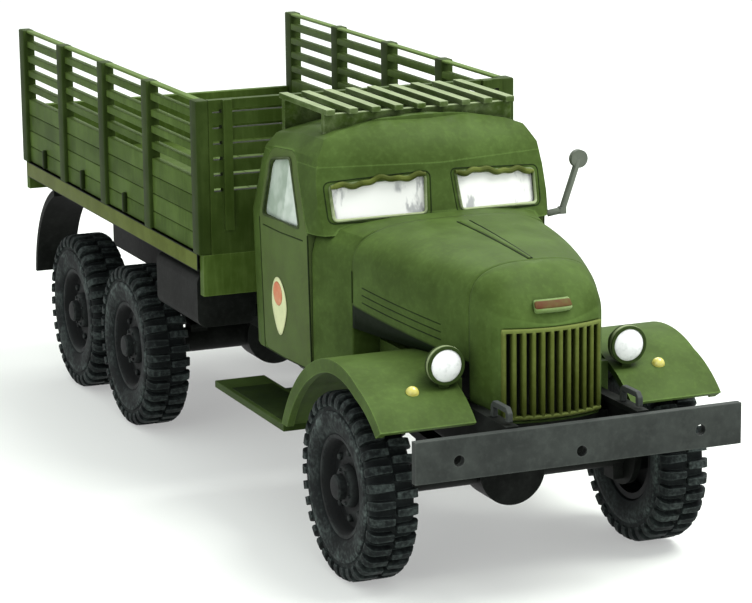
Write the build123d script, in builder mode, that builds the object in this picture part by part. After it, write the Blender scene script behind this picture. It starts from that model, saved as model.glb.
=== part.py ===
"""Scale model of a bonneted six-wheel cargo truck with a slatted cargo bed.

Millimetres, +X forward, +Y left, +Z up, standing on z = 0 with the origin in
the middle of its length and width. The model is a 1:72 static kit: the six
wheels roll on stub pins, and everything else is fixed.
"""
import os
from math import cos, hypot, pi, radians, sin

from build123d import *

# ---------------------------------------------------------------- along X
front_overhang = 13.4       # front axle to the bumper's face
wheelbase = 51.0            # front axle to middle axle
bogie_spread = 15.9         # middle axle to rear axle
hood_setback = 9.45         # front axle to the hood's rear edge
cowl_length = 4.95          # hood's rear edge to the door's front edge
door_width = 9.4
cab_corner = 2.3            # door's rear edge to the cab's back
cab_bed_gap = 2.65
bed_length = 51.9

# ---------------------------------------------------------------- across Y
bed_width = 29.4
track = 24.7
rail_spacing = 10.8         # between the frame rails' middles
cab_half = 11.1             # half width of the cab at the belt line

# ---------------------------------------------------------------- along Z
rail_bottom = 10.9
rail_depth = 3.4
runner_depth = 3.8          # lengthwise beams between rails and bearers
bearer_depth = 2.0
floor_thick = 0.85
bed_side_height = 12.3      # above the floor's top
belt_height = 24.3
cab_low = 12.9              # lower edge of doors and cab walls
eave_rise = 4.2             # belt line to the roof's eave
split_rise = 1.1            # eave to the joint between roof and walls
roof_rise = 4.7             # eave to the roof's crown

# ---------------------------------------------------------------- wheels
tyre_radius = 7.4
tyre_width = 4.06
rim_radius = 4.0
rim_width = 3.0
hub_radius = 1.7
pin_radius = 0.8
pin_clearance = 0.05
pin_end_gap = 0.1
hub_reach = 2.1             # hub cap's end beyond the wheel's mid plane
hub_back = 1.3              # hub's inner face behind the mid plane
axle_side_gap = 0.35        # hub's inner face to the axle's flange

# ---------------------------------------------------------------- walls, fits
wall = 0.7                  # cab, hood and nose panels
glass_thick = 0.35
glass_setback = 0.25        # glass behind the panel's outer face
fit = 0.02                  # clearance round a part set in a hole
plank = 0.75                # bed walls
rib = 0.35                  # posts proud of the planks
sheet = 0.6                 # fenders, running boards, flaps

# ---------------------------------------------------------------- worked out
overall_length = (front_overhang + hood_setback + cowl_length + door_width
                  + cab_corner + cab_bed_gap + bed_length)
front_x = overall_length / 2
front_axle_x = front_x - front_overhang
middle_axle_x = front_axle_x - wheelbase
rear_axle_x = middle_axle_x - bogie_spread
hood_rear_x = front_axle_x - hood_setback
door_front_x = hood_rear_x - cowl_length
door_rear_x = door_front_x - door_width
cab_back_x = door_rear_x - cab_corner
bed_front_x = cab_back_x - cab_bed_gap
bed_rear_x = bed_front_x - bed_length

rail_top = rail_bottom + rail_depth
runner_top = rail_top + runner_depth
bearer_top = runner_top + bearer_depth
floor_top = bearer_top + floor_thick
bed_top = floor_top + bed_side_height
bed_half = bed_width / 2
wheel_y = track / 2
eave_height = belt_height + eave_rise
roof_split = eave_height + split_rise
roof_crown = eave_height + roof_rise
SIDES = (("right", -1), ("left", 1))

os.makedirs("parts", exist_ok=True)


def save(built, node):
    """Label a finished builder and write its STEP file."""
    built.part.label = node
    export_step(built.part, "parts/" + node + ".step")


def slab(x0, x1, y0, y1, z0, z1, mode=Mode.ADD):
    """Box between two opposite corners, in the open part."""
    with Locations(((x0 + x1) / 2, (y0 + y1) / 2, (z0 + z1) / 2)):
        Box(abs(x1 - x0), abs(y1 - y0), abs(z1 - z0), mode=mode)


def rod(start, end, radius, mode=Mode.ADD):
    """Round bar from start to end, in the open part."""
    line = Vector(*end) - Vector(*start)
    with BuildSketch(Plane(origin=start, z_dir=line)) as disc:
        Circle(radius)
    extrude(disc.sketch, amount=line.length, mode=mode)


def lying_rod(x, y0, y1, z, radius, mode=Mode.ADD):
    """Round bar along Y, in the open part."""
    rod((x, min(y0, y1), z), (x, max(y0, y1), z), radius, mode)


def both_sides(y0, y1):
    """The Y range of a piece and of its mirror twin, as (low, high) pairs."""
    return ((y0, y1), (-y1, -y0))


# ================================================================ frame
rail_thick = 1.0
rail_web = 0.4
rail_y = rail_spacing / 2
rail_inner = rail_y - rail_thick / 2
rail_outer = rail_y + rail_thick / 2
bumper_thick = 0.65
bumper_x = front_x - bumper_thick
rail_rear_x = bed_rear_x + 1.2

for side, sign in SIDES:
    with BuildPart() as rail:
        slab(rail_rear_x, bumper_x, sign * rail_inner, sign * rail_outer, rail_bottom, rail_top)
        slab(rail_rear_x, bumper_x, sign * rail_inner, sign * (rail_outer - rail_web),
             rail_bottom + rail_web, rail_top - rail_web, Mode.SUBTRACT)
    save(rail, "frame_rail_" + side)

member_low = rail_bottom + rail_web
member_high = 13.0
member_width = 1.6
# crossmember places, behind the front axle
MEMBER_SETBACKS = (-10.6, -6.1, -3.0, 20.5, 33.9, 46.0, 58.95, 72.0)
with BuildPart() as members:
    for setback in MEMBER_SETBACKS:
        x = front_axle_x - setback
        slab(x - member_width / 2, x + member_width / 2,
             -rail_outer + rail_web, rail_outer - rail_web,
             member_low, member_high)
save(members, "frame_crossmembers")

# ---------------------------------------------------------------- bumper, hooks
bumper_low = 10.95
bumper_high = 14.15
bumper_half = 13.5
bumper_hole_radius = 0.42
# hole places: across, up
BUMPER_HOLES = ((-10.0, 12.4), (0.0, 11.95), (10.0, 12.4))
with BuildPart() as bumper:
    slab(bumper_x, front_x, -bumper_half, bumper_half, bumper_low, bumper_high)
    for y, z in BUMPER_HOLES:
        rod((bumper_x - 1, y, z), (front_x + 1, y, z), bumper_hole_radius, Mode.SUBTRACT)
save(bumper, "front_bumper")

hook_x = front_axle_x + 10.9
hook_half = 1.5             # half the hook's length along the rail
hook_rise = 1.3
hook_wire = 0.45
hook_bend = 0.4
hook_mouth = 0.2            # gap under the hook's point
with BuildPart() as hooks:
    for sign in (-1, 1):
        plane = Plane(origin=(hook_x, sign * rail_y, rail_top), x_dir=(1, 0, 0), z_dir=(0, -1, 0))
        with BuildSketch(plane) as bar:
            with Locations((0, hook_rise / 2)):
                Rectangle(2 * hook_half, hook_rise)
            chamfer(bar.vertices().group_by(Axis.Y)[-1], hook_bend)
            with Locations((0, (hook_rise - hook_wire) / 2)):
                Rectangle(2 * (hook_half - hook_wire), hook_rise - hook_wire, mode=Mode.SUBTRACT)
            with Locations((hook_half - hook_wire / 2, hook_mouth / 2)):
                Rectangle(hook_wire, hook_mouth, mode=Mode.SUBTRACT)
        extrude(bar.sketch, amount=hook_wire / 2, both=True)
save(hooks, "tow_hooks")

# ================================================================ axles
axle_tube = 1.15
diff_radius = 2.8
diff_half = 1.6             # half the differential's depth, along X
knuckle_half = 0.8
knuckle_depth = 0.9
knuckle_reach = 2.1
flange_radius = 2.7
flange_thick = 0.6
hub_inner_y = wheel_y - hub_back
flange_y = hub_inner_y - axle_side_gap
hub_cap_thick = 0.9
pin_end_y = wheel_y + hub_reach - hub_cap_thick - pin_end_gap
pinion_radius = 0.85
pinion_reach = 3.5
pad_half = 0.8
pad_rise = 0.35


# ---------------------------------------------------------------- springs
leaf_thick = 0.35
leaf_width = 1.3
front_leaf_count = 4
front_spring_half = 7.0
front_spring_low = tyre_radius + axle_tube


def leaf_band(half, low_z, end_z, plane, thick, width, x):
    """One curved leaf: an arc from end to end through its low or high middle."""
    with BuildSketch(plane) as band:
        with BuildLine():
            ThreePointArc((x - half, end_z), (x, low_z), (x + half, end_z))
            ThreePointArc((x - half, end_z + thick), (x, low_z + thick), (x + half, end_z + thick))
            Line((x - half, end_z), (x - half, end_z + thick))
            Line((x + half, end_z), (x + half, end_z + thick))
        make_face()
    extrude(band.sketch, amount=width / 2, both=True)


with BuildPart() as front_springs:
    for sign in (-1, 1):
        plane = Plane(origin=(0, sign * rail_y, 0), x_dir=(1, 0, 0), z_dir=(0, -1, 0))
        for leaf in range(front_leaf_count):
            share = (leaf + 1) / front_leaf_count
            half = front_spring_half * share
            low = front_spring_low + leaf * leaf_thick
            sag = rail_bottom - leaf_thick - 0.3 - front_spring_low - (front_leaf_count - 1) * leaf_thick
            leaf_band(half, low, low + sag * share * share, plane, leaf_thick + 0.02, leaf_width,
                      front_axle_x)
        for toward in (-1, 1):
            x = front_axle_x + toward * (front_spring_half - 0.4)
            slab(x - 0.4, x + 0.4, sign * rail_y - leaf_width / 2, sign * rail_y + leaf_width / 2,
                 rail_bottom - 0.55, rail_bottom)
save(front_springs, "front_springs")

bogie_x = (middle_axle_x + rear_axle_x) / 2
bogie_spring_y = 7.3
rear_leaf_count = 5
rear_leaf_width = 1.6
bogie_tube = 0.9
spring_end_z = tyre_radius + axle_tube
bogie_rise = 1.5
trunnion_z = spring_end_z + bogie_rise - bogie_tube
trunnion_end = bogie_spring_y + rear_leaf_width / 2
with BuildPart() as rear_springs:
    for sign in (-1, 1):
        plane = Plane(origin=(0, sign * bogie_spring_y, 0), x_dir=(1, 0, 0), z_dir=(0, -1, 0))
        for leaf in range(rear_leaf_count):
            share = (rear_leaf_count - leaf) / rear_leaf_count
            half = (bogie_spread / 2 + 0.8) * share
            high = spring_end_z + bogie_rise + leaf * leaf_thick
            leaf_band(half, high, high - bogie_rise * share * share, plane, leaf_thick + 0.02,
                      rear_leaf_width, bogie_x)
    lying_rod(bogie_x, -trunnion_end, trunnion_end, trunnion_z, bogie_tube)
    for y0, y1 in both_sides(bogie_spring_y - rear_leaf_width / 2, trunnion_end):
        slab(bogie_x - 0.9, bogie_x + 0.9, y0, y1, trunnion_z, spring_end_z + bogie_rise + leaf_thick / 2)
    for y0, y1 in both_sides(rail_inner + 0.1, rail_outer + 0.2):
        slab(bogie_x - 1.6, bogie_x + 1.6, y0, y1, trunnion_z, rail_bottom)
save(rear_springs, "rear_springs")

# ---------------------------------------------------------------- axle pieces
def build_axle(x, node, steered, pinions):
    """Axle tube with its differential, wheel flanges and stub pins."""
    with BuildPart() as axle:
        lying_rod(x, -flange_y, flange_y, tyre_radius, axle_tube)
        rod((x - diff_half, 0, tyre_radius), (x + diff_half, 0, tyre_radius), diff_radius)
        for toward in pinions:
            rod((x, 0, tyre_radius), (x + toward * pinion_reach, 0, tyre_radius), pinion_radius)
        for y0, y1 in both_sides(flange_y - flange_thick, flange_y):
            lying_rod(x, y0, y1, tyre_radius, flange_radius)
        for y0, y1 in both_sides(flange_y, pin_end_y):
            lying_rod(x, y0, y1, tyre_radius, pin_radius)
        pad_y = rail_y if steered else bogie_spring_y
        for sign in (-1, 1):
            slab(x - pad_half, x + pad_half, sign * pad_y - pad_half, sign * pad_y + pad_half,
                 tyre_radius, tyre_radius + axle_tube + pad_rise)
        add(front_springs.part if steered else rear_springs.part, mode=Mode.SUBTRACT)
        if steered:
            for sign in (-1, 1):
                y = sign * (flange_y - flange_thick)
                slab(x - knuckle_half, x + knuckle_half, y, y - sign * knuckle_depth,
                     tyre_radius - knuckle_reach, tyre_radius + knuckle_reach)
    save(axle, node)


build_axle(front_axle_x, "front_axle", True, (-1,))
build_axle(middle_axle_x, "middle_axle", False, (1, -1))
build_axle(rear_axle_x, "rear_axle", False, (1,))

# ================================================================ drive line
engine_half = 3.0
engine_top = belt_height - 3.8
engine_rear_x = hood_rear_x + wall + 0.3
engine_front_x = front_axle_x + 4.6
gearbox_half = 2.0
gearbox_low = 9.4
gearbox_shaft_z = 10.3
gearbox_rear_x = front_axle_x - 19.0
with BuildPart() as engine:
    slab(engine_rear_x, engine_front_x, -engine_half, engine_half, member_high, engine_top)
    slab(gearbox_rear_x, engine_rear_x + 1, -gearbox_half, gearbox_half, gearbox_low, rail_top - 0.2)
save(engine, "engine_block")

case_x = front_axle_x - 33.9
case_half_x = 2.4
case_half_y = 3.2
case_low = 7.4
case_shaft_z = 9.3
case_round = 0.5

shaft_radius = 0.5
yoke_half = 0.7
yoke_long = 0.9
shaft_reach = pinion_reach + 0.1
# shafts: start, which has a joint's yoke, and end
SHAFTS = (
    ((gearbox_rear_x, 0, gearbox_shaft_z), (case_x + case_half_x, 0, case_shaft_z)),
    ((case_x + case_half_x, -1.9, case_shaft_z - 0.9), (front_axle_x - shaft_reach, 0, tyre_radius)),
    ((case_x - case_half_x, 0, case_shaft_z), (middle_axle_x + shaft_reach, 0, tyre_radius)),
    ((middle_axle_x - pinion_reach, 0, tyre_radius), (rear_axle_x + shaft_reach, 0, tyre_radius)),
)
with BuildPart() as shafts:
    slab(case_x - case_half_x, case_x + case_half_x, -case_half_y, case_half_y, case_low, member_low)
    chamfer(shafts.edges().filter_by(Axis.X), case_round)
    for start, end in SHAFTS:
        back = 1 if end[0] > start[0] else -1
        slab(start[0], start[0] + back * yoke_long, start[1] - yoke_half, start[1] + yoke_half,
             start[2] - yoke_half, start[2] + yoke_half)
        rod(start, end, shaft_radius)
save(shafts, "transfer_case_and_shafts")

# ================================================================ wheels
rim_lip = 0.35              # barrel's wall
dish_out = 0.6              # disc's outer face beyond the wheel's mid plane
hub_step = 1.3              # hub flange's outer face beyond the mid plane
hub_cap_radius = 0.95


def build_rim(x, sign, node):
    """Wheel disc with its blind bore, hub and barrel."""
    bore = pin_radius + pin_clearance
    cap_start = hub_reach - hub_cap_thick
    half = rim_width / 2
    outline = (
        (0, cap_start), (bore, cap_start), (bore, -hub_back), (rim_radius - rim_lip, -hub_back),
        (rim_radius - rim_lip, -half), (rim_radius, -half), (rim_radius, half),
        (rim_radius - rim_lip, half), (rim_radius - rim_lip, dish_out), (hub_radius, dish_out),
        (hub_radius, hub_step), (hub_cap_radius, hub_step), (hub_cap_radius, hub_reach),
        (0, hub_reach),
    )
    centre = (x, sign * wheel_y, tyre_radius)
    with BuildPart() as rim:
        with BuildSketch(Plane(origin=centre, x_dir=(0, 0, 1), z_dir=(-sign, 0, 0))):
            with BuildLine():
                Polyline(*outline, close=True)
            make_face()
        revolve(axis=Axis(centre, (0, 1, 0)), revolution_arc=360)
    save(rim, node)


lug_count = 20              # lugs in each of a tyre's two rows
lug_height = 0.55
lug_foot_share = 0.31       # half of a lug's share of its pitch, at its foot
lug_top_share = 0.25        # the same at its top: the two rows' corners stand level
tread_half = 1.9            # half width of the tread
wall_radius = 5.9           # side wall's flat part


def lug_row(centre, sign, row):
    """Side view of a row of lugs: a toothed ring whose lugs have flat tops."""
    pitch = 2 * pi / lug_count
    top = tyre_radius / cos(lug_top_share * pitch)
    foot = tyre_radius - lug_height
    corners = ((-lug_foot_share, foot), (-lug_top_share, top), (lug_top_share, top),
               (lug_foot_share, foot))
    points = []
    for index in range(lug_count):
        for share, radius in corners:
            turn = (index + share + row / 2) * pitch
            points.append((-radius * cos(turn), radius * sin(turn)))
    with BuildSketch(Plane(origin=centre, x_dir=(0, 0, 1), z_dir=(0, sign, 0))) as ring:
        with BuildLine():
            Polyline(*points, close=True)
        make_face()
    return ring.sketch


def build_tyre(x, sign, node):
    """Tyre with two staggered rows of lugs between its side walls."""
    centre = (x, sign * wheel_y, tyre_radius)
    half = tyre_width / 2
    with BuildPart() as tyre:
        for row, toward in enumerate((sign, -sign)):
            add(extrude(lug_row(centre, toward, row), amount=tread_half, mode=Mode.PRIVATE))
        with BuildSketch(Plane(origin=centre, x_dir=(0, 0, 1), z_dir=(0, 1, 0))):
            RegularPolygon(wall_radius, lug_count)
        extrude(amount=half, both=True)
        lying_rod(x, centre[1] - half - 1, centre[1] + half + 1, tyre_radius, rim_radius, Mode.SUBTRACT)
    save(tyre, node)


for place, axle_x in (("front", front_axle_x), ("middle", middle_axle_x), ("rear", rear_axle_x)):
    for side, sign in SIDES:
        build_rim(axle_x, sign, "rim_" + place + "_" + side)
        build_tyre(axle_x, sign, "tyre_" + place + "_" + side)

# ================================================================ cargo bed
runner_width = 1.1
front_beam_depth = 3.55
rear_beam_depth = 2.8
beam_thick = 0.9
bearer_width = 1.2
sill_height = 1.5
sill_thick = 1.3
post_width = 1.65
post_setbacks = (0.85, 13.6, 26.1, 38.6, 51.05)   # posts' middles behind the bed's front
wall_outer = bed_half - rib
wall_inner = wall_outer - plank

with BuildPart() as beams:
    for y0, y1 in both_sides(rail_y - runner_width / 2, rail_y + runner_width / 2):
        slab(bed_rear_x + beam_thick, bed_front_x - beam_thick, y0, y1, rail_top, runner_top)
    for y0, y1 in both_sides(bed_half - sill_thick, bed_half - 0.1):
        slab(bed_rear_x + beam_thick, bed_front_x - beam_thick, y0, y1,
             bearer_top - sill_height, bearer_top)
save(beams, "bed_beams")

with BuildPart() as bearers:
    for setback in post_setbacks[1:-1]:
        x = bed_front_x - setback
        slab(x - bearer_width / 2, x + bearer_width / 2, -bed_half + sill_thick,
             bed_half - sill_thick, runner_top, bearer_top)
    slab(bed_front_x - beam_thick, bed_front_x, -bed_half + rib, bed_half - rib,
         bearer_top - front_beam_depth, bearer_top)
    slab(bed_rear_x, bed_rear_x + beam_thick, -bed_half + rib, bed_half - rib,
         bearer_top - rear_beam_depth, bearer_top)
save(bearers, "bed_bearers")

with BuildPart() as floor:
    slab(bed_rear_x + plank + fit, bed_front_x - plank - fit, -wall_inner + fit, wall_inner - fit,
         bearer_top, floor_top)
save(floor, "bed_floor")

slot_height = 0.76
slot_pitch = 1.44
slot_top = bed_top - 0.27
slot_rows = 5
slot_margin = 0.95          # from a post's middle to a slot's end
for side, sign in SIDES:
    with BuildPart() as bed_side:
        slab(bed_rear_x, bed_front_x, sign * wall_inner, sign * wall_outer, bearer_top, bed_top)
        for setback in post_setbacks:
            x = bed_front_x - setback
            slab(x - post_width / 2, x + post_width / 2, sign * wall_inner, sign * bed_half,
                 bearer_top, bed_top)
        with BuildSketch(Plane(origin=(0, 0, 0), x_dir=(1, 0, 0), z_dir=(0, -1, 0))):
            for row in range(slot_rows):
                z = slot_top - slot_height / 2 - row * slot_pitch
                for ahead, behind in zip(post_setbacks, post_setbacks[1:]):
                    long = behind - ahead - 2 * slot_margin
                    x = bed_front_x - (ahead + behind) / 2
                    with Locations((x, z)):
                        Rectangle(long, slot_height)
        extrude(amount=-sign * (bed_half + 1), mode=Mode.SUBTRACT)
    save(bed_side, "bed_side_" + side)

board_gap = 0.3
board_pitch = 1.34
headboard_gap_rows = 6
headboard_first_gap = floor_top + 4.5
headboard_post_y = wall_inner - 1.6
headboard_post_half = 0.4
headboard_post_low = floor_top + 1.2
corner_post = 0.35
inner_gap = headboard_post_y - headboard_post_half
HEADBOARD_SPANS = (
    (-wall_inner + corner_post, -headboard_post_y - headboard_post_half),
    (-inner_gap, inner_gap),
    (headboard_post_y + headboard_post_half, wall_inner - corner_post),
)
with BuildPart() as headboard:
    slab(bed_front_x - plank, bed_front_x, -wall_inner, wall_inner, bearer_top, bed_top)
    for row in range(headboard_gap_rows):
        z = headboard_first_gap + row * board_pitch
        for y0, y1 in HEADBOARD_SPANS:
            slab(bed_front_x - plank - 1, bed_front_x + 1, y0, y1, z, z + board_gap, Mode.SUBTRACT)
    for y in (-headboard_post_y, headboard_post_y):
        slab(bed_front_x, bed_front_x + rib, y - headboard_post_half, y + headboard_post_half,
             headboard_post_low, bed_top)
save(headboard, "bed_headboard")

tailgate_height = 4.7
with BuildPart() as tailgate:
    slab(bed_rear_x, bed_rear_x + plank, -wall_inner, wall_inner, bearer_top,
         floor_top + tailgate_height)
save(tailgate, "bed_tailgate")

flap_inner_y = 10.4
flap_top_x = rear_axle_x - 4.6
flap_low = (flap_top_x - 7.1, 9.2)
flap_mid = (flap_top_x - 5.0, 14.9)
flap_thick = 0.5
with BuildPart() as flaps:
    for y0, y1 in both_sides(flap_inner_y, bed_half - 0.3):
        with BuildSketch(Plane(origin=(0, y1, 0), x_dir=(1, 0, 0), z_dir=(0, -1, 0))):
            with BuildLine():
                ThreePointArc((flap_top_x, bearer_top - sill_height), flap_mid, flap_low)
                Line(flap_low, (flap_low[0] + flap_thick, flap_low[1]))
                ThreePointArc((flap_low[0] + flap_thick, flap_low[1]),
                              (flap_mid[0] + flap_thick, flap_mid[1] - flap_thick * 0.6),
                              (flap_top_x, bearer_top - sill_height - flap_thick * 1.4))
                Line((flap_top_x, bearer_top - sill_height - flap_thick * 1.4),
                     (flap_top_x, bearer_top - sill_height))
            make_face()
        extrude(amount=y1 - y0)
save(flaps, "rear_mudguards")

# ================================================================ cab form
pane_angle = 12.0           # each windscreen pane's turn from square across
apex_x = hood_rear_x - 1.3      # windscreen's middle at its foot
foot_z = belt_height + 1.1
pane_lean = 0.27            # run back for each unit of rise
brow_z = eave_height + 0.6
brow_run = 2.9              # roof's curve over the windscreen, along X
brow_bulge = 0.75
high = roof_crown + 8       # above everything
far = bed_width             # beyond every side

# cab sections, back to front: x, then inwards from the cab's half width at the
# low edge, belt and eave, then below the crown at the shoulder and in the middle
CAB_SECTIONS = (
    (cab_back_x, 0.6, 0.3, 1.2, 3.1, 2.2),
    (cab_back_x + 1.3, 0.3, 0.0, 0.7, 2.0, 1.0),
    (apex_x - 8.5, 0.3, 0.0, 0.6, 1.1, 0.1),
    (apex_x - 4.2, 0.6, 0.4, 0.9, 1.0, 0.0),
    (apex_x - 2.4, 1.0, 0.8, 1.15, 1.2, 0.3),
    (apex_x - 1.2, 1.8, 1.7, 2.0, 1.6, 0.7),
    (apex_x, 3.2, 3.1, 3.5, 2.0, 1.1),
)
SHOULDER_SHARE = 0.74
ROUND_STEPS = 3             # flats round a shoulder


def round_corner(start, end):
    """Points of a quarter ellipse that leaves start upwards and reaches end level."""
    points = []
    for step in range(ROUND_STEPS + 1):
        turn = pi / 2 * step / ROUND_STEPS
        points.append((end[0] + (start[0] - end[0]) * cos(turn), start[1] + (end[1] - start[1]) * sin(turn)))
    return points


def arched_section(x, walls, shoulder, crown_z):
    """Closed outline across the truck: walls from the floor up, round shoulders, crown."""
    crown_step = (crown_z - shoulder[1]) * 0.72
    right = walls + round_corner(walls[-1], shoulder)[1:]
    right.append((shoulder[0] * 0.5, shoulder[1] + crown_step))
    left = [(-y, z) for y, z in reversed(right)]
    with BuildSketch(Plane.YZ.offset(x)) as section:
        with BuildLine():
            Polyline(*right, (0, crown_z), *left, close=True)
        make_face()
    return section.sketch


def cab_section(row, inset):
    """Cab's outline across the truck at one place."""
    x, low_in, belt_in, eave_in, shoulder_drop, crown_drop = row
    eave_half = cab_half - eave_in
    walls = [(cab_half - low_in - inset, cab_low - inset * 2),
             (cab_half - belt_in - inset, belt_height), (eave_half - inset, eave_height)]
    shoulder = (eave_half * SHOULDER_SHARE - inset * 0.5, roof_crown - shoulder_drop - inset)
    return arched_section(x, walls, shoulder, roof_crown - crown_drop - inset)


def pane_plane(setback=0.0):
    """Plane of the left windscreen pane: X outwards, Y up, Z forward."""
    turn = radians(pane_angle)
    origin = Vector(apex_x - setback, 0, foot_z)
    return Plane(origin=origin, x_dir=(-sin(turn), cos(turn), 0), z_dir=(cos(turn), sin(turn), 0))


def front_cutter(setback):
    """Space ahead of the vee windscreen and the roof's brow, moved back by setback."""
    turn = radians(pane_angle)
    start = Plane(origin=(apex_x - setback, 0, 0), x_dir=(cos(turn), sin(turn), 0),
                  z_dir=(sin(turn), -cos(turn), 0)).offset(cab_half / 3)
    low = belt_height - 4
    foot_run = (foot_z - low) * pane_lean
    brow_x = -(brow_z - foot_z) * pane_lean
    end_z = roof_crown - 0.4
    corner = (brow_x - brow_run, end_z)
    with BuildSketch(start) as profile:
        with BuildLine():
            Line((foot_run, low), (brow_x, brow_z))
            ThreePointArc((brow_x, brow_z), (brow_x - brow_bulge, brow_z + (end_z - brow_z) * 0.57), corner)
            Polyline(corner, (corner[0], high), (2 * cab_half, high), (2 * cab_half, low), (foot_run, low))
        make_face()
    left = extrude(profile.sketch, amount=-2 * cab_half)
    return left + mirror(left, about=Plane.XZ)


def cab_form(inset):
    """Outer form of the cab shrunk by inset on every face but the floor's."""
    sketches = []
    for index, row in enumerate(CAB_SECTIONS):
        place = (row[0] + (inset if index == 0 else 0),) + row[1:]
        sketches.append(cab_section(place, inset))
    body = loft(sketches, ruled=True)
    return body - front_cutter(inset)


# ---------------------------------------------------------------- cowl, hood
hood_low = 17.4
nose_low = rail_top
chin_low = 13.2             # nose's lower edge between the rails
nose_reach = front_axle_x + 9.03
crest_x = front_axle_x + 5.2    # hood's front crest
nose_joint_x = crest_x - 0.2
# hood sections, back to front: x, half width, then from the belt line: side
# height, then the shoulder's half width and height, and the crown's height
HOOD_SECTIONS = (
    (hood_rear_x, cab_half - 2.3, -2.1, cab_half - 4.2, 0.75, 1.35),
    (front_axle_x, 6.85, -2.5, 4.9, 0.35, 0.95),
    (crest_x, 5.2, -3.0, 3.6, 0.05, 0.50),
    (crest_x + 2.0, 4.85, -4.0, 3.2, -1.30, -0.75),
    (nose_reach, 4.6, -5.2, 2.8, -3.75, -3.35),
)
COWL_REAR = (door_front_x, cab_half - 0.8, -1.7, cab_half - 3.2, 0.9, 1.9)


def hood_section(row, low, inset):
    """Hood's outline across the truck at one place."""
    x, half, side_rise, shoulder_half, shoulder_rise, crown_rise = row
    walls = [(half - inset, low), (half - inset, belt_height + side_rise)]
    shoulder = (shoulder_half - inset * 0.6, belt_height + shoulder_rise - inset * 0.8)
    return arched_section(x, walls, shoulder, belt_height + crown_rise - inset)


def cowl_form(inset):
    """Form between the doors and the hood, shrunk by inset."""
    low = cab_low - 2 * inset
    rows = (COWL_REAR, HOOD_SECTIONS[0])
    return loft([hood_section(row, low, inset) for row in rows], ruled=True)


nose_corner = (nose_reach - 1.0, 4.3)
nose_cheek = (nose_reach - 2.1, 4.75)
nose_side = (nose_reach - 4.0, 5.4)


def nose_plan(inset, low, high):
    """Upright prism behind the nose's curved front, shrunk by inset."""
    def point(place):
        return (place[0] - inset, place[1] - inset * 0.4)

    corner = point(nose_corner)
    cheek = point(nose_cheek)
    side_point = (nose_side[0], nose_side[1] - inset)
    with BuildSketch(Plane.XY.offset(low)) as plan:
        with BuildLine():
            ThreePointArc((corner[0], -corner[1]), (nose_reach - inset, 0), corner)
            ThreePointArc(corner, cheek, side_point)
            Polyline(side_point, (nose_side[0], cab_half), (hood_rear_x - 2, cab_half),
                     (hood_rear_x - 2, -cab_half), (nose_side[0], -cab_half),
                     (side_point[0], -side_point[1]))
            ThreePointArc((side_point[0], -side_point[1]), (cheek[0], -cheek[1]), (corner[0], -corner[1]))
        make_face()
    return extrude(plan.sketch, amount=high - low)


def hood_form(low, inset):
    """Hood and nose form, shrunk by inset."""
    body = loft([hood_section(row, low, inset) for row in HOOD_SECTIONS], ruled=True)
    return body & nose_plan(inset, low - 1, high)


cab_outer = cab_form(0)
cab_inner = cab_form(wall)
cowl_outer = cowl_form(0)
cowl_inner = cowl_form(wall)
hood_outer = hood_form(chin_low, 0)
hood_inner = hood_form(chin_low - 2, wall)

# ---------------------------------------------------------------- cab pieces
door_top_z = roof_split + 0.8
door_corner = 1.1
window_low = belt_height + 0.15
window_high = eave_height + 1.25    # top of the window at its front


def door_outline(grow):
    """Door's outline in side view, grown by grow."""
    points = (
        (door_rear_x - grow, cab_low - grow), (door_rear_x - grow, door_top_z - 0.5),
        (door_front_x - 3.6, door_top_z + grow), (door_front_x - 0.5 + grow, belt_height + 0.8),
        (door_front_x + grow, belt_height), (door_front_x + grow, cab_low - grow),
    )
    with BuildSketch(Plane(origin=(0, 0, 0), x_dir=(1, 0, 0), z_dir=(0, -1, 0))) as outline:
        with BuildLine():
            Polyline(*points, close=True)
        make_face()
        corners = outline.vertices().group_by(Axis.Y)
        fillet(corners[-1] + corners[-2], 1.6)
        fillet(outline.vertices().group_by(Axis.Y)[0], door_corner)
    return outline.sketch


def window_outline(grow):
    """Door window's outline in side view: upright back, slanted front."""
    points = (
        (door_rear_x + 0.75 - grow, window_low - grow),
        (door_rear_x + 0.95 - grow, window_high - 0.75 + grow),
        (door_front_x - 4.3, window_high + grow), (door_front_x - 1.3 + grow, window_low - grow),
    )
    with BuildSketch(Plane(origin=(0, 0, 0), x_dir=(1, 0, 0), z_dir=(0, -1, 0))) as outline:
        with BuildLine():
            Polyline(*points, close=True)
        make_face()
        corners = outline.vertices().group_by(Axis.Y)
        fillet(corners[-1] + corners[-2], 1.0)
        fillet(outline.vertices().group_by(Axis.Y)[0], 0.5)
    return outline.sketch


pane_width = 8.3            # outer end of a pane from the middle
pane_rise = eave_rise - 0.85    # inner end's top above the windscreen's foot


def pane_outline(grow):
    """Left windscreen pane's outline on its own plane."""
    points = ((0.8 - grow, 0.35 - grow), (pane_width + grow, 0.05 - grow),
              (pane_width + 0.25 + grow, pane_rise - 0.6 + grow), (0.7 - grow, pane_rise + grow))
    with BuildSketch(pane_plane(setback=4)) as outline:
        with BuildLine():
            Polyline(*points, close=True)
        make_face()
        fillet(outline.vertices(), 0.35)
    return outline.sketch


def side_prism(sketch, sign):
    """Side-view outline carried out through the wall on one side."""
    return extrude(sketch, amount=-sign * 14, mode=Mode.PRIVATE)


door_zone = side_prism(door_outline(fit), -1) + side_prism(door_outline(fit), 1)
pane_left = extrude(pane_outline(fit), amount=8)
pane_zone = pane_left + mirror(pane_left, about=Plane.XZ)
rear_window_half = 3.2
rear_window_low = belt_height + 1.3
rear_window_high = eave_height - 0.1

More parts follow.
